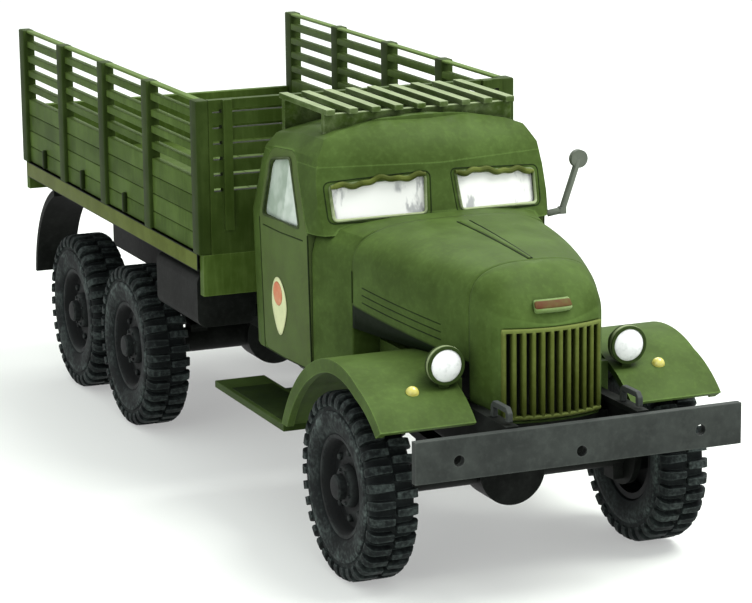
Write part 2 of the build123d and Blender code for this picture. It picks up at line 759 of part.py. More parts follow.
with BuildPart() as roof:
    add(cab_outer)
    add(cab_inner, mode=Mode.SUBTRACT)
    slab(cab_back_x - 5, front_x, -far, far, 0, roof_split, Mode.SUBTRACT)
    add(door_zone, mode=Mode.SUBTRACT)
save(roof, "cab_roof")

with BuildPart() as back:
    add(cab_outer)
    add(cab_inner, mode=Mode.SUBTRACT)
    slab(cab_back_x - 5, front_x, -far, far, roof_split, high, Mode.SUBTRACT)
    slab(door_rear_x + door_width / 2, front_x, -far, far, 0, high, Mode.SUBTRACT)
    slab(cab_back_x - 5, cab_back_x + 5, -far, far, 0, cab_low, Mode.SUBTRACT)
    slab(cab_back_x - 5, cab_back_x + 5, -rail_outer - 0.5, rail_outer + 0.5, 0, rail_top + 0.3,
         Mode.SUBTRACT)
    slab(cab_back_x - 5, cab_back_x + wall + 0.3, -rear_window_half, rear_window_half,
         rear_window_low, rear_window_high, Mode.SUBTRACT)
    add(door_zone, mode=Mode.SUBTRACT)
save(back, "cab_back")

with BuildPart() as screen_frame:
    add(cab_outer)
    add(cab_inner, mode=Mode.SUBTRACT)
    slab(cab_back_x - 5, front_x, -far, far, roof_split, high, Mode.SUBTRACT)
    slab(cab_back_x - 5, door_rear_x + door_width / 2, -far, far, 0, high, Mode.SUBTRACT)
    slab(cab_back_x - 5, front_x, -far, far, 0, belt_height, Mode.SUBTRACT)
    add(door_zone, mode=Mode.SUBTRACT)
    add(pane_zone, mode=Mode.SUBTRACT)
    add(cowl_outer, mode=Mode.SUBTRACT)
save(screen_frame, "windscreen_frame")

firewall = 0.7
frame_gap_half = rail_outer + 1.1   # half the firewall's opening over the frame
cowl_hollow = cowl_inner & Pos(hood_rear_x - firewall - far, 0, 0) * Box(2 * far, 2 * far, 2 * high)
with BuildPart() as cowl:
    add(cowl_outer)
    slab(hood_rear_x - far, front_x, -far, far, 0, cab_low, Mode.SUBTRACT)
    add(cowl_hollow, mode=Mode.SUBTRACT)
    slab(hood_rear_x - firewall - 1, hood_rear_x + 1, -frame_gap_half, frame_gap_half,
         0, rail_top + 0.4, Mode.SUBTRACT)
save(cowl, "cab_cowl")

for side, sign in SIDES:
    with BuildPart() as door:
        add(cab_outer)
        add(cab_inner, mode=Mode.SUBTRACT)
        add(side_prism(door_outline(-fit), sign), mode=Mode.INTERSECT)
        add(side_prism(window_outline(0), sign), mode=Mode.SUBTRACT)
    save(door, "door_" + side)

glass_outer = cab_form(glass_setback)
glass_inner = cab_form(glass_setback + glass_thick)
glass_skin = glass_outer - glass_inner
door_window_fitted = side_prism(window_outline(-fit), -1) + side_prism(window_outline(-fit), 1)
with BuildPart() as door_glass:
    add(glass_skin)
    add(door_window_fitted, mode=Mode.INTERSECT)
save(door_glass, "door_glass")

pane_left = extrude(pane_outline(-fit), amount=8) & front_cutter(glass_setback + glass_thick)
pane_left = pane_left - front_cutter(glass_setback) - cowl_outer
with BuildPart() as screen_glass:
    add(pane_left)
    mirror(about=Plane.XZ)
save(screen_glass, "windscreen_glass")

with BuildPart() as rear_glass:
    slab(cab_back_x + glass_setback, cab_back_x + glass_setback + glass_thick,
         -rear_window_half + fit, rear_window_half - fit, rear_window_low + fit, rear_window_high - fit)
save(rear_glass, "rear_glass")

# ---------------------------------------------------------------- cab inside
cab_floor_low = 14.6
cab_floor_thick = 0.6
cab_floor_top = cab_floor_low + cab_floor_thick
with BuildPart() as cab_floor:
    add(cab_inner)
    slab(cab_back_x - 5, front_x, -far, far, cab_floor_top, high, Mode.SUBTRACT)
    slab(cab_back_x - 5, front_x, -far, far, 0, cab_floor_low, Mode.SUBTRACT)
    slab(door_front_x, front_x, -far, far, 0, high, Mode.SUBTRACT)
    for y0, y1 in both_sides(rail_y - 0.6, rail_y + 0.6):
        for x in (cab_back_x + 3.0, door_front_x - 1.6):
            slab(x - 1, x + 1, y0, y1, rail_top, cab_floor_low)
save(cab_floor, "cab_floor")

seat_half = 9.2
seat_depth = 4.6
seat_high = cab_floor_top + 4.0
seat_back_high = belt_height + 0.3
with BuildPart() as seat:
    x0 = cab_back_x + wall + 0.5
    slab(x0, x0 + seat_depth, -seat_half, seat_half, cab_floor_top, seat_high)
    slab(x0, x0 + 1.1, -seat_half, seat_half, seat_high, seat_back_high)
    fillet(seat.edges().filter_by(Axis.Y).group_by(Axis.Z)[-1], 0.4)
save(seat, "seat_bench")

dash_low = belt_height - 3.7
dash_depth = 1.3
with BuildPart() as dash:
    add(cowl_inner)
    slab(cab_back_x, door_front_x, -far, far, 0, high, Mode.SUBTRACT)
    slab(door_front_x + dash_depth, front_x, -far, far, 0, high, Mode.SUBTRACT)
    slab(cab_back_x, front_x, -far, far, 0, dash_low, Mode.SUBTRACT)
    slab(cab_back_x, front_x, -far, far, belt_height, high, Mode.SUBTRACT)
save(dash, "dashboard")

wheel_centre = (door_front_x - 3.2, 4.7, belt_height - 2.7)
wheel_ring = 2.3
wheel_wire = 0.22
column_radius = 0.28
column_foot = (door_front_x + 0.6, 4.7, cab_floor_top)
with BuildPart() as steering:
    lean = Vector(*wheel_centre) - Vector(*column_foot)
    disc = Plane(origin=wheel_centre, x_dir=(0, 1, 0), z_dir=lean)
    with BuildSketch(disc) as ring:
        Circle(wheel_ring + wheel_wire)
        Circle(wheel_ring - wheel_wire, mode=Mode.SUBTRACT)
        with PolarLocations(0, 3, start_angle=90):
            with Locations((wheel_ring / 2, 0)):
                Rectangle(wheel_ring, wheel_wire * 1.4)
    extrude(ring.sketch, amount=wheel_wire, both=True)
    foot = Vector(*wheel_centre) - lean * (1 - 0.55 / lean.length)
    rod(tuple(foot), wheel_centre, column_radius)
save(steering, "steering_wheel")

# ---------------------------------------------------------------- hood, nose
with BuildPart() as hood:
    add(hood_outer)
    add(hood_inner, mode=Mode.SUBTRACT)
    slab(nose_joint_x - fit, front_x, -far, far, 0, high, Mode.SUBTRACT)
    slab(hood_rear_x - 5, hood_rear_x + fit, -far, far, 0, high, Mode.SUBTRACT)
    slab(hood_rear_x - 5, front_x, -far, far, 0, hood_low, Mode.SUBTRACT)
save(hood, "hood")

grille_half = 4.1
grille_low = chin_low + 0.25
grille_high = belt_height - 3.8
with BuildPart() as nose:
    add(hood_outer)
    add(hood_inner, mode=Mode.SUBTRACT)
    slab(hood_rear_x - 5, nose_joint_x, -far, far, 0, high, Mode.SUBTRACT)
    for y0, y1 in both_sides(nose_corner[1] + fit, far):
        slab(nose_joint_x - 1, front_x, y0, y1, 0, nose_low, Mode.SUBTRACT)
    slab(nose_joint_x - 1, nose_corner[0] - wall, -far, far, 0, nose_low, Mode.SUBTRACT)
    slab(nose_joint_x + 1.5, front_x, -grille_half, grille_half, grille_low, grille_high, Mode.SUBTRACT)
save(nose, "nose_shell")

grille_bar = 0.36
grille_bars = 11
grille_proud = 0.22
grille_rim = 0.3
grille_front = nose_plan(-grille_proud, grille_low + fit, grille_high - fit)
grille_hollow = nose_plan(wall * 0.6, grille_low - 1, grille_high + 1)
with BuildPart() as grille:
    add(grille_front)
    add(grille_hollow, mode=Mode.SUBTRACT)
    half = grille_half - fit
    slab(hood_rear_x - 5, front_x, half, far, 0, high, Mode.SUBTRACT)
    slab(hood_rear_x - 5, front_x, -far, -half, 0, high, Mode.SUBTRACT)
    slab(hood_rear_x - 5, nose_joint_x + 1.7, -far, far, 0, high, Mode.SUBTRACT)
    gap_pitch = 2 * half / grille_bars
    gap = gap_pitch - grille_bar
    for index in range(grille_bars):
        y = -half + gap_pitch * (index + 0.5)
        slab(nose_joint_x, front_x, y - gap / 2, y + gap / 2, grille_low + grille_rim,
             grille_high - grille_rim, Mode.SUBTRACT)
save(grille, "grille")

with BuildPart() as radiator:
    slab(nose_joint_x + 0.6, nose_joint_x + 1.6, -grille_half, grille_half, member_high, grille_high)
save(radiator, "radiator")

# ================================================================ fenders
fender_outer_y = 14.3
fender_inner_y = 6.5
fender_lip = 1.1
fender_centre = (-1.0, 8.0)
board_low = 9.1
board_top = board_low + sheet
# fender arcs in side view, ahead of the front axle and up: start, middle, end
FENDER_ARCS = (
    ((-11.3, board_top), (-7.7, 14.3), (-2.2, 17.1)),
    ((-2.2, 17.1), (1.5, 17.25), (4.6, 16.3)),
    ((4.6, 16.3), (7.1, 15.2), (8.9, 13.8)),
)


def fender_point(place, inset):
    """Point of the fender's outline, moved by inset towards the arch's middle."""
    dx = place[0] - fender_centre[0]
    dz = place[1] - fender_centre[1]
    share = 1 - inset / hypot(dx, dz)
    return (front_axle_x + fender_centre[0] + dx * share, fender_centre[1] + dz * share)


def fender_band(depth):
    """Side view of the fender: the space between its arch and depth below it."""
    with BuildSketch(Plane(origin=(0, 0, 0), x_dir=(1, 0, 0), z_dir=(0, -1, 0))) as band:
        with BuildLine():
            for arc in FENDER_ARCS:
                ThreePointArc(*[fender_point(place, 0) for place in arc])
                ThreePointArc(*[fender_point(place, depth) for place in arc])
            for place in (FENDER_ARCS[0][0], FENDER_ARCS[-1][2]):
                Line(fender_point(place, 0), fender_point(place, depth))
        make_face()
    return band.sketch


def fender_form(sign):
    """Fender with its turned-down outer lip, cut level on the running board."""
    top = extrude(fender_band(sheet), amount=-sign * fender_outer_y)
    top -= extrude(fender_band(sheet + 2), amount=-sign * fender_inner_y)
    lip = extrude(fender_band(fender_lip), amount=-sign * fender_outer_y)
    lip -= extrude(fender_band(fender_lip + 2), amount=-sign * (fender_outer_y - sheet))
    return (top + lip) - Pos(front_axle_x, 0, board_top - far / 2) * Box(2 * far, 2 * far, far)


def fender_fill():
    """Everything under the fenders' outer surface, right across the truck."""
    ends = (FENDER_ARCS[0][0], FENDER_ARCS[-1][2])
    with BuildSketch(Plane(origin=(0, 0, 0), x_dir=(1, 0, 0), z_dir=(0, -1, 0))) as under:
        with BuildLine():
            for arc in FENDER_ARCS:
                ThreePointArc(*[fender_point(place, 0) for place in arc])
            Polyline(fender_point(ends[0], 0), (front_axle_x + ends[0][0], 0),
                     (front_axle_x + ends[1][0], 0), fender_point(ends[1], 0))
        make_face()
    return extrude(under.sketch, amount=far, both=True)


apron_top = 16.3
fender_under = fender_fill()
fender_forms = {sign: fender_form(sign) for side, sign in SIDES}
for side, sign in SIDES:
    with BuildPart() as fender:
        add(fender_forms[sign])
        slab(hood_rear_x, nose_joint_x, sign * rail_outer, sign * fender_inner_y, member_high, apron_top)
    save(fender, "fender_" + side)

board_front_x = front_axle_x - 10.9
board_rear_x = cab_back_x - 0.7
board_inner_y = 9.8
with BuildPart() as boards:
    for y0, y1 in both_sides(board_inner_y, fender_outer_y):
        slab(board_rear_x, board_front_x, y0, y1, board_low, board_top)
    for x in (cab_back_x + 2.5, door_front_x - 1.5):
        for sign in (-1, 1):
            slab(x - 0.45, x + 0.45, sign * rail_outer, sign * (fender_outer_y - 1), board_low - 0.4,
                 board_low)
            slab(x - 0.45, x + 0.45, sign * rail_outer, sign * (rail_outer + 0.5), board_low - 0.4,
                 member_high)
save(boards, "running_boards")

# ---------------------------------------------------------------- lamps
lamp_place = (front_axle_x + 6.2, 7.7, 17.65)
lamp_radius = 1.5
lamp_depth = 2.0
lens_radius = 1.25
lens_seat = 0.25
lens_proud = 0.08
lamp_foot_half = 0.4
fender_under_lamp = 15.5


def turned_x(place, outline):
    """Solid turned about X from radius and length pairs, ahead of place."""
    with BuildSketch(Plane(origin=place, x_dir=(0, 0, 1), z_dir=(0, -1, 0))) as half:
        with BuildLine():
            Polyline(*[(radius, -along) for radius, along in outline], close=True)
        make_face()
    return revolve(half.sketch, axis=Axis(place, (1, 0, 0)), revolution_arc=360, mode=Mode.PRIVATE)


# radius and place along the lamp, from the back
LAMP_OUTLINE = (
    (0, -lamp_depth), (0.8, -lamp_depth), (lamp_radius, -lamp_depth * 0.35), (lamp_radius, 0),
    (lens_radius, 0), (lens_radius, -lens_seat), (0, -lens_seat),
)
LENS_OUTLINE = ((0, -lens_seat), (lens_radius, -lens_seat), (lens_radius, lens_proud), (0, lens_proud))
lamp_foot_x = lamp_place[0] - lamp_depth * 0.4
with BuildPart() as lamps:
    for sign in (-1, 1):
        y = sign * lamp_place[1]
        slab(lamp_foot_x - lamp_foot_half, lamp_foot_x + lamp_foot_half, y - lamp_foot_half,
             y + lamp_foot_half, fender_under_lamp, lamp_place[2] - lens_radius)
        add(fender_under, mode=Mode.SUBTRACT)
        add(turned_x((lamp_place[0], y, lamp_place[2]), LAMP_OUTLINE))
save(lamps, "headlamps")

with BuildPart() as lenses:
    for sign in (-1, 1):
        add(turned_x((lamp_place[0], sign * lamp_place[1], lamp_place[2]), LENS_OUTLINE))
save(lenses, "headlamp_lenses")

marker_place = (front_axle_x + 5.9, 10.4, 15.8)
marker_radius = 0.42
marker_length = 0.9
with BuildPart() as markers:
    for sign in (-1, 1):
        x, y, z = marker_place[0], sign * marker_place[1], marker_place[2]
        rod((x - marker_length / 2, y, z), (x + marker_length / 2, y, z), marker_radius)
        rod((x, y, fender_under_lamp), (x, y, z), marker_radius * 0.6)
        add(fender_under, mode=Mode.SUBTRACT)
save(markers, "marker_lamps")

# ---------------------------------------------------------------- mirror, wipers
mirror_foot = (door_front_x + 1.2, cab_half - 1.9, belt_height - 0.1)
mirror_elbow = (door_front_x + 1.2, cab_half + 0.5, belt_height + 0.2)
mirror_centre = (door_front_x + 1.2, cab_half + 2.0, belt_height + 4.4)
mirror_stem = 0.28
mirror_radius = 0.75
mirror_thick = 0.5
with BuildPart() as mirror_arm:
    rod(mirror_foot, mirror_elbow, mirror_stem)
    slab(mirror_elbow[0] - mirror_stem, mirror_elbow[0] + mirror_stem, mirror_elbow[1] - mirror_stem,
         mirror_elbow[1] + mirror_stem, mirror_elbow[2] - mirror_stem, mirror_elbow[2] + mirror_stem)
    rod(mirror_elbow, mirror_centre, mirror_stem)
    with Locations(Location(mirror_centre, (0, 90, 0))):
        Cylinder(mirror_radius, mirror_thick)
    add(cab_outer, mode=Mode.SUBTRACT)
    add(cowl_outer, mode=Mode.SUBTRACT)
save(mirror_arm, "mirror_left")

wiper_wire = 0.2
# wiper ends on the left pane's plane: outwards, up
WIPER_ENDS = ((1.2, pane_rise), (7.9, pane_rise - 0.7))
with BuildPart() as wipers:
    base = pane_plane()
    lean_back = [-up * pane_lean for out, up in WIPER_ENDS]
    for sign in (-1, 1):
        ends = []
        for (out, up), back_run in zip(WIPER_ENDS, lean_back):
            place = base.from_local_coords((out, up, back_run + wiper_wire * 0.5))
            ends.append((place.X, sign * place.Y, place.Z))
        rod(ends[0], ends[1], wiper_wire)
    add(cab_outer, mode=Mode.SUBTRACT)
save(wipers, "wipers")

# ---------------------------------------------------------------- roof rack
rack_half = cab_half - 2.77
rack_front_x = door_front_x - 1.65
rack_rear_x = rack_front_x - 8.7
rack_board_thick = 0.6
rack_board_low = roof_crown - 2.6
rack_board_top = roof_crown + 0.3
rack_slat_count = 9
rack_slat_width = 0.75
rack_slat_thick = 0.45
rack_slat_overhang = 0.6
with BuildPart() as rack:
    for x in (rack_front_x, rack_rear_x):
        slab(x - rack_board_thick, x, -rack_half, rack_half, rack_board_low, rack_board_top)
    pitch = (2 * rack_half - rack_slat_width) / (rack_slat_count - 1)
    for index in range(rack_slat_count):
        y = -rack_half + rack_slat_width / 2 + index * pitch
        slab(rack_rear_x - rack_board_thick - rack_slat_overhang, rack_front_x + rack_slat_overhang,
             y - rack_slat_width / 2, y + rack_slat_width / 2, rack_board_top,
             rack_board_top + rack_slat_thick)
    add(cab_outer, mode=Mode.SUBTRACT)
save(rack, "roof_rack")

# ---------------------------------------------------------------- tanks
tank_front_x = front_axle_x - 31.8
tank_length = 10.6
tank_low = 13.1
tank_high = 17.9
tank_outer_y = 13.9
tank_inner_y = 8.6
tank_round = 0.9
with BuildPart() as tanks:
    for y0, y1 in both_sides(tank_inner_y, tank_outer_y):
        slab(tank_front_x - tank_length, tank_front_x, y0, y1, tank_low, tank_high)
    fillet(tanks.edges().filter_by(Axis.X), tank_round)
    for y0, y1 in both_sides(rail_outer, tank_inner_y):
        for x in (tank_front_x - 2.2, tank_front_x - tank_length + 2.2):
            slab(x - 0.5, x + 0.5, y0, y1, tank_low + 0.1, tank_low + 1.0)
save(tanks, "fuel_tanks")
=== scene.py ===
"""Looks of a small plastic six-wheel cargo truck, built round its fixed frame.

Everything is in the frame's own axes: +X forward, +Y left, +Z up. Shapes are
worked out in millimetres and put into the meshes in metres.
"""

import bmesh
import bpy
import numpy as np
from mathutils import Matrix, Vector


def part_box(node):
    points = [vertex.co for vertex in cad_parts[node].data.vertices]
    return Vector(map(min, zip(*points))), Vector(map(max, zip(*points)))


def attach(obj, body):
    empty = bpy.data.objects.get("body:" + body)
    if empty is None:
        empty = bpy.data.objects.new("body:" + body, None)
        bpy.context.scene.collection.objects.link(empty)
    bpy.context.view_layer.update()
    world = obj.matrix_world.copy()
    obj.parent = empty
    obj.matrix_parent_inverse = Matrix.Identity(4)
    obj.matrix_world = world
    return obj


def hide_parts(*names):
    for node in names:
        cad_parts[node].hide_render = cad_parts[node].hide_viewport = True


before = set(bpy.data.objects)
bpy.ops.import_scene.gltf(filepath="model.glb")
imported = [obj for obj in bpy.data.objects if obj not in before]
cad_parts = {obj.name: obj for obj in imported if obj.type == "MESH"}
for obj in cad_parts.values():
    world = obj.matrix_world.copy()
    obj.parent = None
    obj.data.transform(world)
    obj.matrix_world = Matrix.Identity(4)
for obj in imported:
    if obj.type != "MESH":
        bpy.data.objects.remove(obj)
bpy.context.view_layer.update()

bl_info = {
    "name": "Cargo truck looks",
    "version": (1, 0, 0),
    "blender": (4, 5, 0),
    "location": "View3D > Sidebar > Truck",
    "description": "Pieces, finishes and stage of a six-wheel cargo truck model",
    "category": "Object",
}

MM = 0.001
SIDES = (("right", -1.0), ("left", 1.0))
SIGNS = (-1.0, 1.0)
WHEELS = tuple(f"{place}_{side}" for place in ("front", "middle", "rear") for side, _ in SIDES)
CHASSIS = "chassis"
AHEAD, UP = (1.0, 0.0, 0.0), (0.0, 0.0, 1.0)


def node_box(name):
    """Lowest and highest corner of a frame node, in millimetres."""
    low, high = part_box(name)
    return np.array(low) / MM, np.array(high) / MM


# ------------------------------------------------------------------ properties
def colour(name, description, value):
    """Colour property with a default."""
    return bpy.props.FloatVectorProperty(
        name=name, description=description, subtype="COLOR", size=3,
        min=0.0, max=1.0, default=value)


def whole(name, description, value, low, high):
    """Whole number with a default and limits."""
    return bpy.props.IntProperty(
        name=name, description=description, default=value, min=low, max=high)


def number(name, description, value, low=-2000.0, high=2000.0):
    """Number with a default and limits."""
    return bpy.props.FloatProperty(
        name=name, description=description, default=value, min=low, max=high)


class TruckFinish(bpy.types.PropertyGroup):
    """Colours of the paints, rubber, glass and metal."""
    cab_green: colour("Cab green", "Paint of the cab, hood and fenders", (0.036, 0.061, 0.011))
    door_green: colour("Door green", "Dusty paint of the doors", (0.062, 0.086, 0.028))
    # the worn green also serves as the painted highlight on upward faces, and the wash green as
    # painted shade in creases and under edges
    sun_green: colour("Worn green", "Where the cab paint is lighter", (0.100, 0.165, 0.040))
    shade_green: colour("Wash green", "Dark wash in the cab's creases", (0.006, 0.012, 0.004))
    bed_green: colour("Bed green", "Paint of the bed's planks", (0.036, 0.064, 0.008))
    # the brushed green also serves as the painted highlight on the bed's upward faces, and the bed
    # wash as painted shade in creases and under edges
    bed_pale: colour("Brushed green", "Dry-brushed edges of the planks", (0.130, 0.200, 0.050))
    bed_dark: colour("Bed wash", "Dark wash on the bed", (0.006, 0.011, 0.002))
    # the pale olive also serves as the painted highlight on upward faces
    olive: colour("Olive", "Paint of the grille and the sills", (0.062, 0.078, 0.012))
    olive_pale: colour("Pale olive", "Edges of the grille and the sills", (0.150, 0.185, 0.050))
    # the rack's pale top is a painted highlight on the slats' tops, with dry-brushed edges
    rack_pale: colour("Rack top", "Dry-brushed top of the rack's slats", (0.230, 0.280, 0.150))
    black: colour("Chassis black", "Paint under the truck", (0.004, 0.005, 0.004))
    # the chassis dust also serves as the painted highlight on upward faces, and the chassis wash
    # as painted shade in creases and under edges
    chassis_dust_and_top_light: colour("Chassis dust", "Dust on the chassis", (0.030, 0.033, 0.030))
    chassis_wash_and_shade: colour("Chassis wash", "Creases of the chassis", (0.002, 0.002, 0.002))
    slate: colour("Bumper slate", "Paint of the bumper", (0.026, 0.029, 0.027))
    # the bumper's worn edge colour also serves as the painted highlight on upward faces, and its
    # wash as painted shade in creases and under edges
    slate_wear_and_top_light: colour("Bumper edge", "Worn edges of the bumper", (0.075, 0.084, 0.076))
    slate_wash_and_shade: colour("Bumper wash", "Creases of the bumper", (0.006, 0.006, 0.007))
    rubber: colour("Tyre rubber", "Tyres", (0.006, 0.008, 0.008))
    rubber_brush: colour("Tyre brushing", "Dry-brushed grey on the wheels", (0.120, 0.150, 0.140))
    # the tyre wash also serves as painted shade in the wheels' creases
    rubber_wash_and_shade: colour("Tyre wash", "Creases of the wheels", (0.003, 0.003, 0.004))
    rim_dark: colour("Rim", "Wheel discs", (0.006, 0.007, 0.007))
    # the windscreen panes' white with grey streaks is a painted reflection
    pane_white: colour("Panes", "Bright backing of the windscreen", (0.780, 0.790, 0.750))
    pane_grey: colour("Pane streaks", "Grey streaks in the panes", (0.180, 0.190, 0.200))
    # the door panes' pale green-grey with clouds is a painted reflection
    door_pane: colour("Door pane", "Pale glass of the doors", (0.330, 0.400, 0.330))
    door_cloud: colour("Door pane cloud", "Clouds in the door glass", (0.620, 0.680, 0.620))
    gasket: colour("Gasket", "Pale bead round the panes", (0.360, 0.420, 0.240))
    silver: colour("Silver", "Lamp glass", (0.900, 0.910, 0.900))
    silver_shade: colour("Silver shade", "Clouds in the lamp glass", (0.500, 0.520, 0.500))
    hook_grey: colour("Hook grey", "Mirror and hooks", (0.120, 0.135, 0.105))
    gold: colour("Gold", "Marker lamps", (0.560, 0.520, 0.110))
    gold_shade: colour("Gold shade", "Clouds in the marker lamps", (0.350, 0.300, 0.060))
    cream: colour("Shield cream", "Plain shield on the door", (0.640, 0.660, 0.380))
    red: colour("Red", "Disc on the shield", (0.480, 0.045, 0.020))
    rust: colour("Dull red", "Bar on the nose", (0.090, 0.020, 0.014))
    vinyl: colour("Seat", "Seat", (0.060, 0.055, 0.040))
    # the worn seat colour also serves as the painted highlight on upward faces, and the seat wash
    # as painted shade in creases and under edges
    vinyl_wear_and_top_light: colour("Worn seat", "Edges of the seat", (0.140, 0.130, 0.100))
    vinyl_wash_and_shade: colour("Seat wash", "Creases of the seat", (0.010, 0.010, 0.010))


class TruckSizes(bpy.types.PropertyGroup):
    """Counts and sizes of the pieces that a user may change."""
    lug_count: whole("Lugs", "Tread lugs in each row round a tyre", 34, 12, 40)
    wheel_studs: whole("Wheel nuts", "Nuts on each ring of a wheel disc", 8, 4, 12)
    gasket_bead: number("Gasket bead", "Beads round the panes, in millimetres", 0.13, 0.05, 0.5)
    seam_width: number("Seams", "Width of the panel seams, in millimetres", 0.12, 0.05, 0.4)


class TruckStage(bpy.types.PropertyGroup):
    """Camera, light and floor."""
    azimuth: number("Azimuth", "Camera's direction round the truck, in degrees", 67.04)
    elevation: number("Elevation", "Camera's height above level, in degrees", 12.76)
    roll: number("Roll", "Camera's roll, in degrees", -0.65)
    distance: number("Distance", "Camera to its target, in millimetres", 258.74, 10.0)
    lens: number("Lens", "Focal length on a 36 mm sensor", 143.19, 1.0)
    target: bpy.props.FloatVectorProperty(
        name="Target", description="Point that the camera looks at, in millimetres", size=3,
        default=(5.527, 1.135, 14.741))
    floor: colour("Floor", "Pale floor", (0.830, 0.880, 0.800))
    floor_cloud: colour("Floor cloud", "Clouds on the floor", (0.900, 0.900, 0.900))
    floor_share: number("White share", "Plain white in the camera's view of the floor", 0.36,
                        0.0, 1.0)
    sky: colour("Sky", "Soft light from all round", (0.950, 0.980, 1.000))


def sizes():
    """The scene's sizes."""
    return bpy.context.scene.truck_sizes


# ------------------------------------------------------------------ shader maths
class Socket:
    """Node socket that makes Math nodes from Python expressions."""

    def __init__(self, shader, link):
        self.shader = shader
        self.link = link

    def maths(self, operation, *values):
        """Math node on values and sockets."""
        return self.shader.node("ShaderNodeMath", {"operation": operation},
                                dict(enumerate(values)))

    def __add__(self, other):
        return self.maths("ADD", self, other)

    def __radd__(self, other):
        return self.maths("ADD", other, self)

    def __sub__(self, other):
        return self.maths("SUBTRACT", self, other)

    def __rsub__(self, other):
        return self.maths("SUBTRACT", other, self)

    def __mul__(self, other):
        return self.maths("MULTIPLY", self, other)

    def __rmul__(self, other):
        return self.maths("MULTIPLY", other, self)


class Shader:
    """Node tree of a material or of the world."""

    def __init__(self, owner):
        owner.use_nodes = True
        self.owner = owner
        self.tree = owner.node_tree
        self.tree.nodes.clear()

    def node(self, kind, settings=None, inputs=None, output=0):
        """New node from its type, its settings and its sockets' values or links."""
        made = self.tree.nodes.new(kind)
        for key, value in (settings or {}).items():
            setattr(made, key, value)
        for key, value in (inputs or {}).items():
            socket = made.inputs[key]
            if isinstance(value, Socket):
                self.tree.links.new(value.link, socket)
            elif socket.type == "RGBA":
                socket.default_value = (*value, 1.0)[:4]
            else:
                socket.default_value = value
        return Socket(self, made.outputs[output])

    def attribute(self, name):
        """Value of a point attribute."""
        return self.node("ShaderNodeAttribute", {"attribute_name": name}, output="Fac")

    def noise(self, size, detail=3.0, rough=0.55, scale=(1.0, 1.0, 1.0)):
        """Noise from 0 to 1 whose blotches are about size millimetres."""
        at = self.node("ShaderNodeMapping", {}, {
            "Vector": self.node("ShaderNodeTexCoord", output="Object"),
            "Scale": [factor / MM for factor in scale]})
        return self.node("ShaderNodeTexNoise", {}, {
            "Vector": at, "Scale": 1.0 / size, "Detail": detail, "Roughness": rough})

    def step(self, value, low, high):
        """0 below low, 1 above high and smooth between."""
        return self.node("ShaderNodeMapRange", {"interpolation_type": "SMOOTHSTEP"}, {
            "Value": value, "From Min": low, "From Max": high})

    def mix(self, share, first, second):
        """Colour between first and second."""
        return self.node("ShaderNodeMix", {"data_type": "RGBA"}, {0: share, 6: first, 7: second},
                         output=2)

    def facing(self, direction):
        """How far the surface faces a direction, from -1 to 1."""
        normal = self.node("ShaderNodeNewGeometry", output="Normal")
        return self.node("ShaderNodeVectorMath", {"operation": "DOT_PRODUCT"},
                         {0: normal, 1: direction}, output="Value")

    def hollows(self, reach, **settings):
        """1 in creases and under edges within reach millimetres, 0 in the open."""
        return 1 - self.node("ShaderNodeAmbientOcclusion", {"samples": 4, **settings},
                             {"Distance": reach * MM}, output="AO")

    def edges(self, reach):
        """1 on outer edges within reach millimetres, 0 on the flat."""
        return self.hollows(reach, inside=True, only_local=True)

    def greater(self, first, second):
        """Greater of two values."""
        return self.node("ShaderNodeMath", {"operation": "MAXIMUM"}, {0: first, 1: second})

    def bump(self, height, strength, reach):
        """Normal from a height, with the reach in millimetres."""
        return self.node("ShaderNodeBump", {}, {
            "Height": height, "Strength": strength, "Distance": reach * MM})

    def white_seen(self, camera_share):
        """Share of plain white that a ray sees: all for gloss and glass, some for the camera."""
        glossy, through, camera = (self.node("ShaderNodeLightPath", output=f"Is {ray} Ray")
                                   for ray in ("Glossy", "Transmission", "Camera"))
        return self.greater(self.greater(glossy, through), camera * camera_share)

    def surface(self, base, roughness, normal=None, **fixed):
        """Principled surface, with its fixed sockets by name."""
        inputs = {"Base Color": base, "Roughness": roughness}
        if normal is not None:
            inputs["Normal"] = normal
        for key, value in fixed.items():
            inputs[key.replace("_", " ")] = value
        return self.show(self.node("ShaderNodeBsdfPrincipled", {}, inputs))

    def show(self, surface):
        """Link a surface or a background to the output and hand back its owner."""
        kind = "World" if isinstance(self.owner, bpy.types.World) else "Material"
        out = self.tree.nodes.new("ShaderNodeOutput" + kind)
        self.tree.links.new(surface.link, out.inputs["Surface"])
        return self.owner


